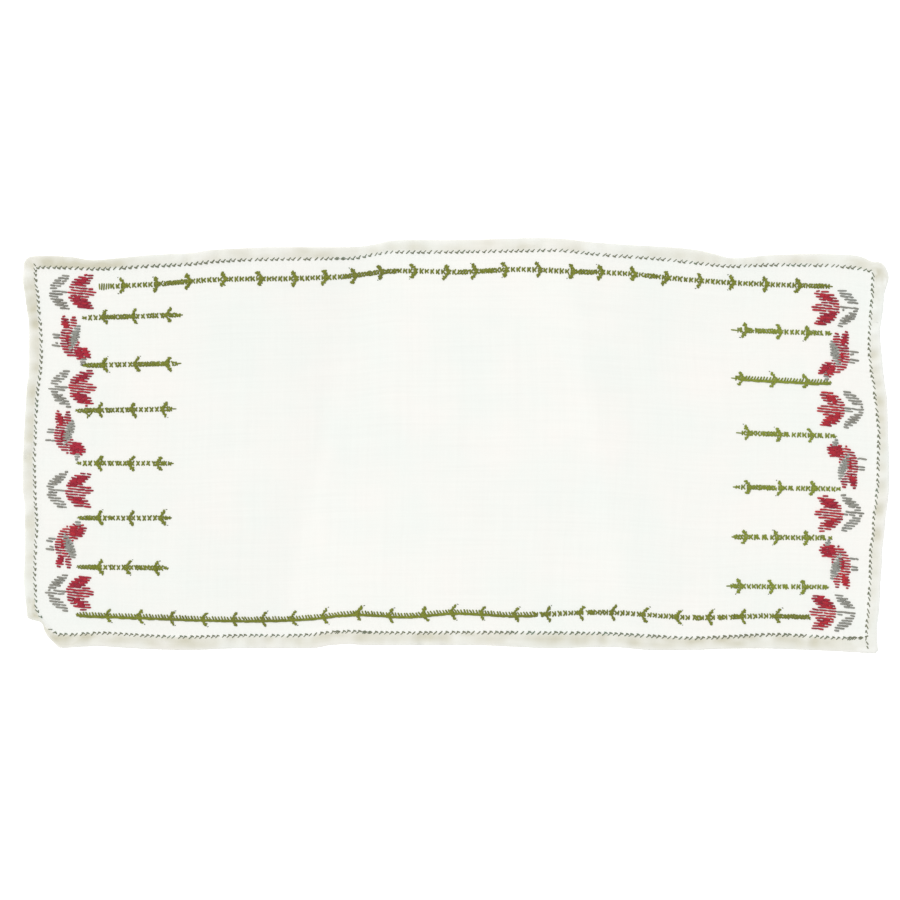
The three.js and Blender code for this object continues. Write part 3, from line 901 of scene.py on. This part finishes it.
# Each row: where a stitch starts and ends, in millimetres along the walk and outwards,
# and how thick it is.
LONG_SIDE_ARMS = [((-0.9, -1.1), (1.9, 1.4), 0.9), ((-1.9, -0.3), (0.2, -1.1), 1.1)]
SHORT_SIDE_ARMS = [((-1.7, -0.9), (1.8, 1.0), 0.85), ((-1.8, -0.8), (-0.1, -1.3), 1.05)]
PILE_ARMS = [*LONG_SIDE_ARMS, ((-2.4, -0.4), (0.3, 1.5), 0.85), ((0.4, -1.0), (2.6, 0.0), 0.8)]
# Where the stitches are heavier than elsewhere: x, y, reach and by how much.
HEAVIER_SPOTS = [
    (-280, 162, 90, 0.25), (250, -171, 90, 0.25), (50, -168, 110, 0.15), (375, 20, 110, 0.15),
]
# Where the thread was fastened off and the stitches pile up: x and y in millimetres.
HEM_PILES = [(-108, 170), (-100, 170.5), (-106, -169), (-80, -169), (357, -173), (362, -173)]
PILE_REACH = 3 * MM
# Where the corner is turned under and the stitches pause: x and y in millimetres.
HEM_PAUSE = (-370.5, -159.2)
PAUSE_REACH = 4.2 * MM
# Two lines run on through the hem at their corners: where each of these stitches starts and ends.
END_STITCHES = [
    ((-379.4, 167.6), (-377.6, 165.2)), ((-379.8, 163.6), (-378.0, 161.4)),
    ((369.0, -176.6), (370.6, -178.8)), ((369.6, -180.6), (370.6, -182.4)),
]
WALK_SPAN = 2 * MM
LONG_SIDE_TURN = 0.7
print(round(1 / (HEM_PITCH * 10)), "slanted stitches for 10 cm of hem")

# %% Sew the hem
# So many rows of the hem's section lie on top.
HEM_UPPER_ROWS = 8


def hem_top(x, y):
    """The top of the hem, or of the linen just inside it."""
    places = np.column_stack([x, y])
    station = nearest(places, rim)
    way = rim_edge[station] - rim[station]
    out = ((places - rim[station]) * way).sum(axis=1) / (way ** 2).sum(axis=1)
    upper = [(0, STITCH_LINE_HEIGHT / MM, 0)] + HEM_SECTION[:HEM_UPPER_ROWS]
    shares, heights, gathered = zip(*upper)
    rise = np.interp(out, shares, heights) * MM + np.interp(out, shares, gathered) * lift[station]
    return rise + THICKNESS / 2


rim_outwards = round_the_rim(side_outwards)
walk = rim[::-1]
walk_marks = ring_marks(walk)


def walk_frame(at):
    """A place on the walk round the hem, and the ways along the walk and outwards from it."""
    back, here, ahead = place_on_ring(walk, walk_marks, at + np.array([-1, 0, 1]) * WALK_SPAN)
    along = (ahead - back) / np.linalg.norm(ahead - back)
    out = np.array([-along[1], along[0]])
    return here + out * rim_outwards[nearest(here[None], rim)[0]] * MM, along, out


def is_near(here, places, distance):
    return gaps(here[None], np.array(places) * MM).min() < distance


def work_hem():
    sewing = Sewing()
    for k in range(int(walk_marks[-1] / HEM_PITCH)):
        here, along, out = walk_frame((k + random.uniform(-LOOSE, LOOSE)) * HEM_PITCH)
        if is_near(here, [HEM_PAUSE], PAUSE_REACH):
            continue
        length = random.uniform(*HEM_UNEVEN)
        heavier = 1 + sum_of_spots(here[None], HEAVIER_SPOTS)[0]
        arms = LONG_SIDE_ARMS if abs(along[0]) > LONG_SIDE_TURN else SHORT_SIDE_ARMS
        arms = arms[:1] if random.uniform() < FOOT_LEFT_OUT else arms
        arms = PILE_ARMS if is_near(here, HEM_PILES, PILE_REACH) else arms
        for start, end, thick in arms:
            places = [here + (along * a + out * b) * MM * length for a, b in (start, end)]
            sewing.add(*places, HEM_THREAD * thick * heavier * random.uniform(*HEM_UNEVEN))
    sewing.add_table(END_STITCHES, HEM_THREAD)
    return sewing


sew("hem_stitches", work_hem(), cottons["dark"], hem_top)

# %% [markdown]
# ## Lines to work along
# A vine is worked along a line drawn on the linen. Every stitch of it is easiest to say in that
# line's own terms: so far along it and so far to its left. `Line` turns that into x and y.

# %% Lines drawn on the linen
UNEVEN_THREAD = (0.88, 1.12)


def wobble(amount=0.2):
    """A hand's inaccuracy, in millimetres."""
    return random.normal(0, amount)


class Line:
    """A smooth line on the linen through corners, in millimetres, and the sewing along it."""

    def __init__(self, sewing, corners):
        self.sewing = sewing
        self.corners = np.array(corners, float)
        steps = np.linalg.norm(np.diff(self.corners, axis=0), axis=1)
        self.marks = np.concatenate([[0], np.cumsum(steps)])
        self.length = self.marks[-1]

    def place(self, along, aside):
        """The place so far along the line and to its left, in metres."""
        inside = min(max(along, 0), self.length - 2)
        at = np.array([inside, inside + 1])
        x, y = (smooth(self.marks, self.corners[:, k], at) for k in (0, 1))
        way = np.array([x[1] - x[0], y[1] - y[0]])
        way /= np.linalg.norm(way)
        left = np.array([-way[1], way[0]])
        return (np.array([x[0], y[0]]) + way * (along - inside) + left * aside) * MM

    def stitch(self, start, end, width, raised=0.0, sewing=None):
        """A stitch between two places given as millimetres along the line and aside of it."""
        places = [self.place(along + wobble(), aside + wobble()) for along, aside in (start, end)]
        uneven = random.uniform(*UNEVEN_THREAD)
        (sewing or self.sewing).add(*places, width * MM * uneven, raised * MM)


print("lines ready")

# %% [markdown]
# ## The parts of a vine
# The stem is a row of small letters, an upright with two arms or a plain cross, open in some
# stretches and crowded into a braid in others. In a few stretches it is a solid cord with ticks
# along one side, or a row of plain uprights. A leaf is two stitches for its neck and four across
# them for its head, and two leaves make an arrow head.

# %% Stem and leaf stitches, in millimetres
STEM_HALF = 1.8
OPEN_PITCH = 4.9
CLOSER_WHEN_CROWDED = 0.25
BRAID_PITCH = 2.7
TICK_PITCH = 2.7
UPRIGHT_PITCH = 2.1
UPRIGHT_THREAD = 1.35
LETTER_THREAD = 1.4
CROSS_THREAD = 1.45
BRAID_THREAD = 1.35
CORD_THREAD = 1.3
DOT_THREAD = 0.75
# How much taller an upright is than a letter.
UPRIGHT = 1.4
# Where a letter's arms start, ahead of its upright and aside, and how far ahead they end.
ARM_ROOT = (1.0, 0.2)
ARM_END = 2.6
CROSS_LEAN = 1.2
# How far each of the two stitches of a braid leans, and how high it is raised.
BRAID_LEANS = ((-0.3, 0), (1.5, 0.15))
STRAND_HALF = 1.7
# How far a cord's stitches reach back and ahead, and where they lie from the stem's edge.
CORD_BACK = 1.6
CORD_AHEAD = 3.4
CORD_FROM_EDGE = (0.1, -0.85)
# A tick starts this far aside, and ends this far ahead and at this share of the stem's half width.
TICK_START = 0.4
TICK_AHEAD = 1.3
TICK_END = 1.1
# Where the stitch over a leaf's root starts and ends, ahead and aside.
ROOT_CROSSING = ((-1.6, -1.2), (2.6, 1.2))
DOT_HALF = (0.3, 0)
# How often a full braid has a strand along its middle, and a leaf a dark speck beyond it.
MIDDLE_STRAND = 0.85
DOT_CHANCE = 0.33
# Each row: where a stitch of a leaf starts and ends, as a share of the leaf's length and,
# in millimetres, aside of it.
LEAF_STITCHES = [
    ((0.0, -0.3), (0.8, -0.4)), ((0.1, 0.4), (0.85, 0.4)), ((0.50, 1.2), (0.62, -1.3)),
    ((0.68, -1.6), (0.80, 1.5)), ((0.88, 1.5), (0.94, -1.3)), ((1.08, -1.1), (1.04, 0.5)),
]
LEAF_THREAD = 1.25
# A leaf's root, ahead and aside, and the least and most that its tip lies back and out.
LEAF_ROOT = (1.4, 0.8)
LEAF_BACK = (1.8, 3.8)
LEAF_OUT = (5.0, 6.1)
dots = Sewing()
print("a leaf is", len(LEAF_STITCHES), "stitches")

# %% The letters of a stem
def letter_k(line, at, half, heading):
    """An upright with two arms that open the way the arrow heads point."""
    line.stitch((at, -half), (at, half), LETTER_THREAD)
    for side in (-1, 1):
        start = (at + heading * ARM_ROOT[0], -side * ARM_ROOT[1])
        line.stitch(start, (at + heading * ARM_END, side * half), LETTER_THREAD, 0.1)


def small_cross(line, at, half, heading):
    """Two stitches that cross, so four arms from one middle."""
    for way in (-1, 1):
        lean = CROSS_LEAN * heading * way
        line.stitch((at - lean, -half), (at + lean, half), CROSS_THREAD, 0.1 * (way + 1))


def braid(line, at, half, heading, crowded):
    """Crowded slanted stitches, here and there with a strand along their middle."""
    for lean, raised in BRAID_LEANS:
        start, end = (at - lean * heading, -half), (at + lean * heading, half)
        line.stitch(start, end, BRAID_THREAD, raised)
    if random.uniform() < MIDDLE_STRAND * crowded ** 2:
        start, end = (at - STRAND_HALF, wobble(0.7)), (at + STRAND_HALF, wobble(0.7))
        line.stitch(start, end, CORD_THREAD, 0.25)


def cord_and_tick(line, at, half, heading, low):
    """A cord with a tick on its other side; low is -1 or 1, the side that the cord lies on."""
    tick_end = (at + heading * TICK_AHEAD, -low * half * TICK_END)
    line.stitch((at, low * TICK_START), tick_end, LETTER_THREAD)
    for from_edge in CORD_FROM_EDGE:
        aside = low * (half + from_edge)
        line.stitch((at - CORD_BACK, aside), (at + CORD_AHEAD, aside), CORD_THREAD, 0.2)


print("letters, braid and cord ready")

# %% A pair of leaves
def leaf(line, at, side, heading, head):
    """A leaf from the stem outwards; heading is 1 where the arrow head points along the line."""
    root = np.array([at + heading * LEAF_ROOT[0], side * LEAF_ROOT[1]])
    back, out = random.uniform(*LEAF_BACK), random.uniform(*LEAF_OUT)
    tip = np.array([at - heading * back, side * out])
    way = tip - root
    across = np.array([-way[1], way[0]]) / np.linalg.norm(way)
    across *= random.choice((-1, 1)) * head * random.uniform(0.8, 1.2)
    for start, end in LEAF_STITCHES:
        uneven = zip((start, end), random.uniform(0.7, 1.3, 2))
        places = [root + way * far + across * aside * k for (far, aside), k in uneven]
        line.stitch(*places, LEAF_THREAD, 0.2)
    return tip + way * 0.3 - (heading * 0.6, 0)


def leaf_pair(line, at, heading, head):
    """Two leaves, the stitches that cross over their roots, and here and there a dark speck."""
    for side in (-1, 1):
        beyond = leaf(line, at, side, heading, head)
        crossing = [(at + heading * ahead, side * aside) for ahead, aside in ROOT_CROSSING]
        line.stitch(*crossing, CORD_THREAD, 0.35)
        if random.uniform() < DOT_CHANCE:
            line.stitch(beyond - DOT_HALF, beyond + DOT_HALF, DOT_THREAD, sewing=dots)


print("a pair of leaves is", 2 * (len(LEAF_STITCHES) + 1), "stitches")

# %% [markdown]
# ### Walk along a stem
# The walk asks at each place how crowded the stem is there, puts the stitches for it, and steps
# on by their pitch: 0 stands for open letters, up to 1 for more and more of a braid, 2 for a cord
# with ticks and 3 for uprights. An end tapers and is fastened by a strand, unless it is blunt.

# %% Sew a stem
TAPER = 5
# The strands at the two ends: how far past the end they start, how far in they reach and
# how thick they are.
START_STRAND = (1.6, 1.2, 0.8)
END_STRAND = (1.5, 3.2, 1.2)


def stem(line, crowding, letter, heading, low=-1, blunt=None):
    """Walks a stem; crowding is a function of the place, and blunt may be "start" or "end"."""
    at = 1.0
    while at < line.length - 0.6:
        to_ends = {"start": at, "end": line.length - at}
        to_ends.pop(blunt, None)
        tapered = min(1, 0.5 + 0.5 * min(to_ends.values()) / TAPER)
        half = STEM_HALF * tapered * random.uniform(0.92, 1.08)
        crowded = crowding(at)
        if crowded > 2:
            start, end = (at, -half * UPRIGHT), (at + 0.3, half * UPRIGHT)
            line.stitch(start, end, UPRIGHT_THREAD)
            at += UPRIGHT_PITCH
        elif crowded > 1:
            cord_and_tick(line, at, half, heading, low)
            at += TICK_PITCH
        elif random.uniform() < crowded:
            braid(line, at, half, heading, crowded)
            at += BRAID_PITCH
        else:
            letter(line, at, half, heading)
            at += OPEN_PITCH * (1 - CLOSER_WHEN_CROWDED * crowded)
    if blunt != "start":
        past, inwards, thread = START_STRAND
        line.stitch((-past, 0), (inwards, 0), thread)
    if blunt != "end":
        past, inwards, thread = END_STRAND
        line.stitch((line.length - inwards, 0), (line.length + past, 0), thread)


print("an open stem takes", round(3 * 100 / OPEN_PITCH), "stitches for 10 cm")

# %% [markdown]
# ## The long vines
# Each long vine follows its own table of places. Its leaves come about every 29 mm, but a hand
# never keeps quite to that, so their places are a table too.

# %% Tables of the long vines, in millimetres
TOP_STEM = [
    (-322, 142.7), (-275, 144.9), (-221, 149), (-131, 150.7), (-95, 152.5), (-68, 156.1),
    (13, 156.3), (49, 158.4), (103, 156.6), (157, 154.4), (193, 150.7), (229, 147.6),
    (283, 144.9), (337, 143.1),
]
BOTTOM_STEM = [
    (-340.5, -152.1), (-275, -154.3), (-221, -156.2), (-131, -154.8), (-95, -151.2), (-41, -153),
    (-5, -149.9), (49, -152.1), (139, -150.3), (211, -154.8), (283, -153.5), (318.5, -154.4),
]
# The x of every pair of leaves.
TOP_LEAVES = [
    -298.5, -269, -240, -208, -175.5, -144.5, -117, -91, -67, -37, -7.5, 17.5, 45, 75.5, 105.5, 131,
    160.5, 190, 220, 249.5, 279.5, 309,
]
BOTTOM_LEAVES = [
    -314, -285.5, -256.5, -227.5, -200, -174, -147.5, -119.5, -88.5, -59.5, -29, -4, 23, 52.5, 82,
    111.5, 140.5, 168.5, 198.5, 227.5, 257, 288,
]
# Each row: from x, to x, how crowded the stem is there.
TOP_CROWDED = [
    (-323, -312, 3), (-266, -244, 1), (-104, -70, 0.9), (-65, -52, 0.6), (0, 12, 0.5), (19, 38, 0.8),
    (108, 126, 0.6), (168, 180, 0.9), (312, 338, 0.9),
]
BOTTOM_CROWDED = [
    (-345, 70, 2), (70, 78, 0.8), (118, 134, 0.8), (210, 221, 0.6), (236, 255, 0.9), (288, 320, 1),
]
print(len(TOP_LEAVES), "and", len(BOTTOM_LEAVES), "pairs of leaves on the long vines")

# %% Sew the long vines
def long_vine(corners, leaves, crowded_rows, heading, head):
    line = Line(Sewing(), corners)

    def crowding(at):
        x = line.place(at, 0)[0] / MM
        return max([crowded for low, high, crowded in crowded_rows if low < x < high], default=0)

    stem(line, crowding, letter_k, heading, blunt="start" if heading > 0 else "end")
    for at in np.interp(leaves, line.corners[:, 0], line.marks):
        leaf_pair(line, at, heading, head)
    return line.sewing


top_vine = long_vine(TOP_STEM, TOP_LEAVES, TOP_CROWDED, 1, 1.0)
bottom_vine = long_vine(BOTTOM_STEM, BOTTOM_LEAVES, BOTTOM_CROWDED, -1, 0.65)
sew("top_vine", top_vine, cottons["green"])
sew("bottom_vine", bottom_vine, cottons["green"])

# %% [markdown]
# ## The short bars
# Six bars reach inwards from each end. Each has three pairs of leaves, and between them
# the worker's stitches are crowded here and open there, so each bar has its own four numbers.

# %% Tables of the bars, in millimetres
# Each row: root x and y, tip x and y, how far along the leaves are, and how crowded the stem is
# before each pair of them and at the tip.
LEFT_BARS = [
    (-335, 114.8, -247.5, 117.5, (18, 44.5, 75.6), (0.0, 0.9, 0.35, 0.7)),
    (-335, 72, -249.3, 73.8, (17.5, 46.8, 74.7), (1.0, 0.1, 1.0, 0.7)),
    (-341, 31.3, -253, 32.9, (19.8, 49.5, 77.4), (0.9, 0.6, 0.1, 0.7)),
    (-340, -15.8, -255.6, -16.2, (18, 46.4, 72), (0.0, 0.4, 0.1, 0.7)),
    (-339, -65.2, -257.4, -65.2, (17.6, 45.9, 73.8), (0.9, 0.2, 0.1, 0.7)),
    (-340, -109.3, -260, -110.2, (18.5, 44, 69.3), (0.9, 0.3, 0.8, 0.7)),
]
RIGHT_BARS = [
    (336.6, 100.8, 249.3, 104, (19.8, 45, 75.6), (0.3, 0.0, 0.9, 0.7)),
    (336.6, 56.5, 249.3, 60.8, (20.7, 49.5, 79.2), (2, 2, 2, 0.7)),
    (341, 8.5, 253.8, 11.3, (20.7, 49.5, 78.3), (0.4, 0.15, 0.7, 0)),
    (343.8, -39.2, 251, -37.3, (21.6, 51.3, 80.1), (0.3, 0.3, 0.9, 0)),
    (336.6, -83.2, 249.3, -82.3, (20.7, 47.7, 75.6), (0.2, 0.1, 0.3, 0.7)),
    (334, -127.4, 244.8, -126.5, (20.7, 49.5, 78.3), (0.2, 0.1, 0.3, 0.7)),
]
# A slip of the needle below the third bar on the left: where its stitches start and end.
STRAY_STITCHES = [
    ((-333.5, 29.8), (-329.6, 26.2)), ((-327.6, 29.4), (-330.4, 26.6)),
    ((-331.0, 27.6), (-331.6, 24.8)),
]
STRAY_THREAD = 1.3 * MM
BAR_LEAF_HEAD = 0.75
print(len(LEFT_BARS) + len(RIGHT_BARS), "bars")

# %% Sew the bars
def short_bar(sewing, bar, letter, low):
    root_x, root_y, tip_x, tip_y, leaves, crowded = bar
    line = Line(sewing, [(root_x, root_y), (tip_x, tip_y)])

    def crowding(at):
        return crowded[int(np.searchsorted(leaves, at))]

    stem(line, crowding, letter, -1, low)
    for at in leaves:
        leaf_pair(line, at, -1, BAR_LEAF_HEAD)


def short_bars(bars, letter, low):
    sewing = Sewing()
    for bar in bars:
        short_bar(sewing, bar, letter, low)
    return sewing


left_bars = short_bars(LEFT_BARS, small_cross, -1)
left_bars.add_table(STRAY_STITCHES, STRAY_THREAD)
sew("left_bars", left_bars, cottons["green"])
sew("right_bars", short_bars(RIGHT_BARS, letter_k, 1), cottons["bright_green"])
sew("leaf_dots", dots, cottons["dark"])

# %% [markdown]
# ## The columns of motifs
# Tulips and songbirds stand along the hem at each end and look to the middle of the runner.
# Each is a handful of pointed petals, filled with satin rows that all run along the runner.
# A row is found as a needle finds it: go along the line and see where it is inside a petal.
# The heart of some petals is worked a second time, between the first rows.

# %% Tables of the motifs, in millimetres
# Each row: petal root u and v, tip u and v, width, thread, and how much of it is worked twice.
# The u runs inwards and the v sideways.
TULIP = [
    (1, 0, 24, 0, 4.2, "grey", 0), (3, 2, 22, 17, 8, "grey", 0.5),
    (3, -2, 22, -17, 8, "grey", 0), (20, 3, 43, 15, 11, "red", 0.7),
    (20, -3, 43, -15, 11, "red", 0.5), (19, 0, 46, 0, 11, "red", 0),
]
SONGBIRD = [
    (13, -4, 1, -6, 4, "grey", 0), (13, 4, 1, 2, 4, "grey", 0),
    (21, -8, 22, -24, 7, "red", 0), (17, -8, 12, -24, 8, "red", 0.6),
    (15, -16, 21, 15, 17, "red", 0.35), (21, 8, 38, 13, 14, "red", 0.75),
    (32, 13, 29, 21, 5, "grey", 0), (18, 8, 27, -16, 8.5, "grey", 0.5),
]
# Each row: a share of the petal's length, and of its half width there.
PETAL_FLANK = [
    (0.06, 0.3), (0.2, 0.72), (0.35, 0.93), (0.5, 1), (0.65, 0.93), (0.8, 0.72), (0.94, 0.3),
]
PETAL_RISE = 0.06
MOTIF_OFFSET = 8
END_MOTIF_GAP = 23
ROW_PITCH = 2.45
ROW_THREAD = 1.75
ROW_SLOPE = -0.1
SHORTEST_ROW = 1.0
LONGEST_STITCH = 8
ROW_INSET = 0.5
SAMPLE = 0.2
print(len(TULIP), "petals make a tulip and", len(SONGBIRD), "a songbird")

# %% Find the satin rows
def petal_outline(root, tip, width):
    """A petal's outline, sheared so that its sloping rows lie level."""
    axis = tip - root
    across = np.array([-axis[1], axis[0]]) / np.linalg.norm(axis) * width / 2
    left = [root + axis * along + across * out for along, out in PETAL_FLANK]
    right = [root + axis * along - across * out for along, out in PETAL_FLANK]
    outline = np.array([root, *right, tip, *left[::-1]])
    outline[:, 1] -= ROW_SLOPE * outline[:, 0]
    return outline


def is_inside(x, y, outline):
    """Which of the places x on one row y are inside an outline."""
    crossings = np.zeros(len(x), int)
    for (x0, y0), (x1, y1) in zip(outline, np.roll(outline, -1, axis=0)):
        if (y0 > y) != (y1 > y):
            crossings += x < x0 + (y - y0) / (y1 - y0) * (x1 - x0)
    return crossings % 2 == 1


def satin_row(petals, y, x, threads):
    """Stitches on one row: one for each stretch that belongs to one petal."""
    owner = np.full(len(x), -1)
    for index, (outline, _, _) in enumerate(petals):
        owner[is_inside(x, y, outline)] = index
    changes = np.flatnonzero(np.diff(owner)) + 1
    for stretch in np.split(np.arange(len(x)), changes):
        index = owner[stretch[0]]
        start, end = x[stretch[0]], x[stretch[-1]]
        if index < 0 or end - start < SHORTEST_ROW:
            continue
        _, thread, raised = petals[index]
        pieces = math.ceil((end - start) / LONGEST_STITCH)
        joints = np.linspace(start, end, pieces + 1)
        joints[1:-1] += random.uniform(-1.5, 1.5, pieces - 1)
        for low, high in zip(joints, joints[1:]):
            row_stitch(threads[thread], low, high, y, raised)


def row_stitch(sewing, low, high, y, raised):
    """One stitch of a row, from x low to x high; y is where the row meets x = 0."""
    slant = random.uniform(-0.3, 0.3)
    start = np.array([low + ROW_INSET + wobble(0.35), y - slant])
    end = np.array([high - ROW_INSET + wobble(0.35), y + slant])
    start[1] += ROW_SLOPE * start[0]
    end[1] += ROW_SLOPE * end[0]
    sewing.add(start * MM, end * MM, ROW_THREAD * MM * random.uniform(0.8, 1.12), raised * MM)


print("rows ready")

# %% Sew the columns
def motif(petal_rows, foot, inwards, flip, threads):
    petals, hearts = [], []
    for root_u, root_v, tip_u, tip_v, width, thread, heart in petal_rows:
        root = foot + (inwards * root_u, flip * root_v)
        tip = foot + (inwards * tip_u, flip * tip_v)
        raised = len(petals) * PETAL_RISE
        petals.append((petal_outline(root, tip, width), thread, raised))
        if heart > 0:
            inset = (tip - root) * (1 - heart) / 2
            hearts.append((petal_outline(root + inset, tip - inset, width * heart), thread, raised))
    corners = np.vstack([outline for outline, _, _ in petals])
    (low_x, low_y), (high_x, high_y) = corners.min(axis=0), corners.max(axis=0)
    x = np.arange(low_x - 1, high_x + 1, SAMPLE)
    for k in range(math.ceil(low_y / ROW_PITCH), math.floor(high_y / ROW_PITCH) + 1):
        y = k * ROW_PITCH
        satin_row(petals, y, x, threads)
        satin_row(hearts, y + ROW_PITCH / 2, x, threads)


def motif_column(side, bars, inwards):
    threads = {"red": Sewing(), "grey": Sewing()}
    levels = [bar[1] for bar in bars]
    middles = [levels[0] + END_MOTIF_GAP]
    middles += [(above + below) / 2 for above, below in zip(levels, levels[1:])]
    middles.append(levels[-1] - END_MOTIF_GAP)
    for k, middle_y in enumerate(middles):
        hem_x = smooth(side[:, 0], side[:, 2], np.array([middle_y]))[0]
        foot = np.array([hem_x + inwards * MOTIF_OFFSET, middle_y])
        flip = -1 if middle_y > 0 else 1
        motif(TULIP if k % 2 == 0 else SONGBIRD, foot, inwards, flip, threads)
    return threads


ENDS = {"left": (LEFT_SIDE, LEFT_BARS, 1), "right": (RIGHT_SIDE, RIGHT_BARS, -1)}
for end, where in ENDS.items():
    threads = motif_column(*where)
    sew(end + "_red_motifs", threads["red"], cottons["red"])
    sew(end + "_grey_motifs", threads["grey"], cottons["grey"])

# %% [markdown]
# ## Tidy up
# The pattern stitch has been copied everywhere and is deleted.

select_only(stitch)
bpy.ops.object.delete()

# %% [markdown]
# ## The floor
# The runner lies on a plain floor that is nearly white. A faint glow of its own, painted light,
# keeps it white even in the runner's shadow, where a brighter lamp would wash out the linen as well.

# %% Lay the floor
# The floor glows though it is no lamp: painted light that fills the shadow round the runner.
FLOOR_GLOW = 0.4


def floor_paint():
    paint = Paint("pale_floor")
    place = paint.node("TexCoord", {}, {}, "Object")
    cloudy = paint.noise(place, 3.0, 2.0)
    colour = paint.tint(paint_colour(254, 254, 254)[:3], 1 + 0.004 * cloudy)
    return paint.finish({
        "Base Color": colour,
        "Roughness": 0.9 + 0.02 * cloudy,
        "Specular IOR Level": 0.1,
        "Emission Color": (1, 1, 1, 1),
        "Emission Strength": FLOOR_GLOW,
    })


deselect_everything()
bpy.ops.mesh.primitive_plane_add(size=6, location=(0, 0, 0))
floor = bpy.context.object
floor.name = "floor"
floor.data.materials.append(floor_paint())
print("floor laid")

# %% [markdown]
# ## Light and camera
# One large soft light comes from the upper left, low enough to draw the hem and the stitches,
# and a bright even sky fills the shadows. It is a sun lamp with a wide disc, because an area
# lamp would leave one end of a long runner darker than the other. The camera hangs straight
# over the runner and looks down, as in the reference.

# %% Light and camera
LIGHT_STRENGTH = 1.66
LIGHT_SOFTNESS = math.radians(45)
LIGHT_FROM = Vector((-0.6, 0.55, 1.6))
SKY = 0.58
CAMERA_HEIGHT = 2.6
VIEW_WIDTH = 0.81
VIEW_MIDDLE = (-0.0054, -0.00405)

light = bpy.data.lights.new("soft_light", "SUN")
light.energy = LIGHT_STRENGTH
light.angle = LIGHT_SOFTNESS
lamp = bpy.data.objects.new("soft_light", light)
lamp.location = LIGHT_FROM
lamp.rotation_euler = (-LIGHT_FROM).to_track_quat("-Z", "Y").to_euler()
bpy.context.scene.collection.objects.link(lamp)

world = bpy.data.worlds.new("sky")
world.use_nodes = True
world.node_tree.nodes["Background"].inputs["Color"].default_value = (1, 1, 1, 1)
world.node_tree.nodes["Background"].inputs["Strength"].default_value = SKY
bpy.context.scene.world = world
bpy.context.scene.view_settings.view_transform = "Standard"

eye = bpy.data.cameras.new("camera")
eye.sensor_width = 36
eye.lens = eye.sensor_width * CAMERA_HEIGHT / VIEW_WIDTH
camera = bpy.data.objects.new("camera", eye)
camera.location = (*VIEW_MIDDLE, CAMERA_HEIGHT)
bpy.context.scene.collection.objects.link(camera)
bpy.context.scene.camera = camera
print("the camera sees", VIEW_WIDTH, "m across")
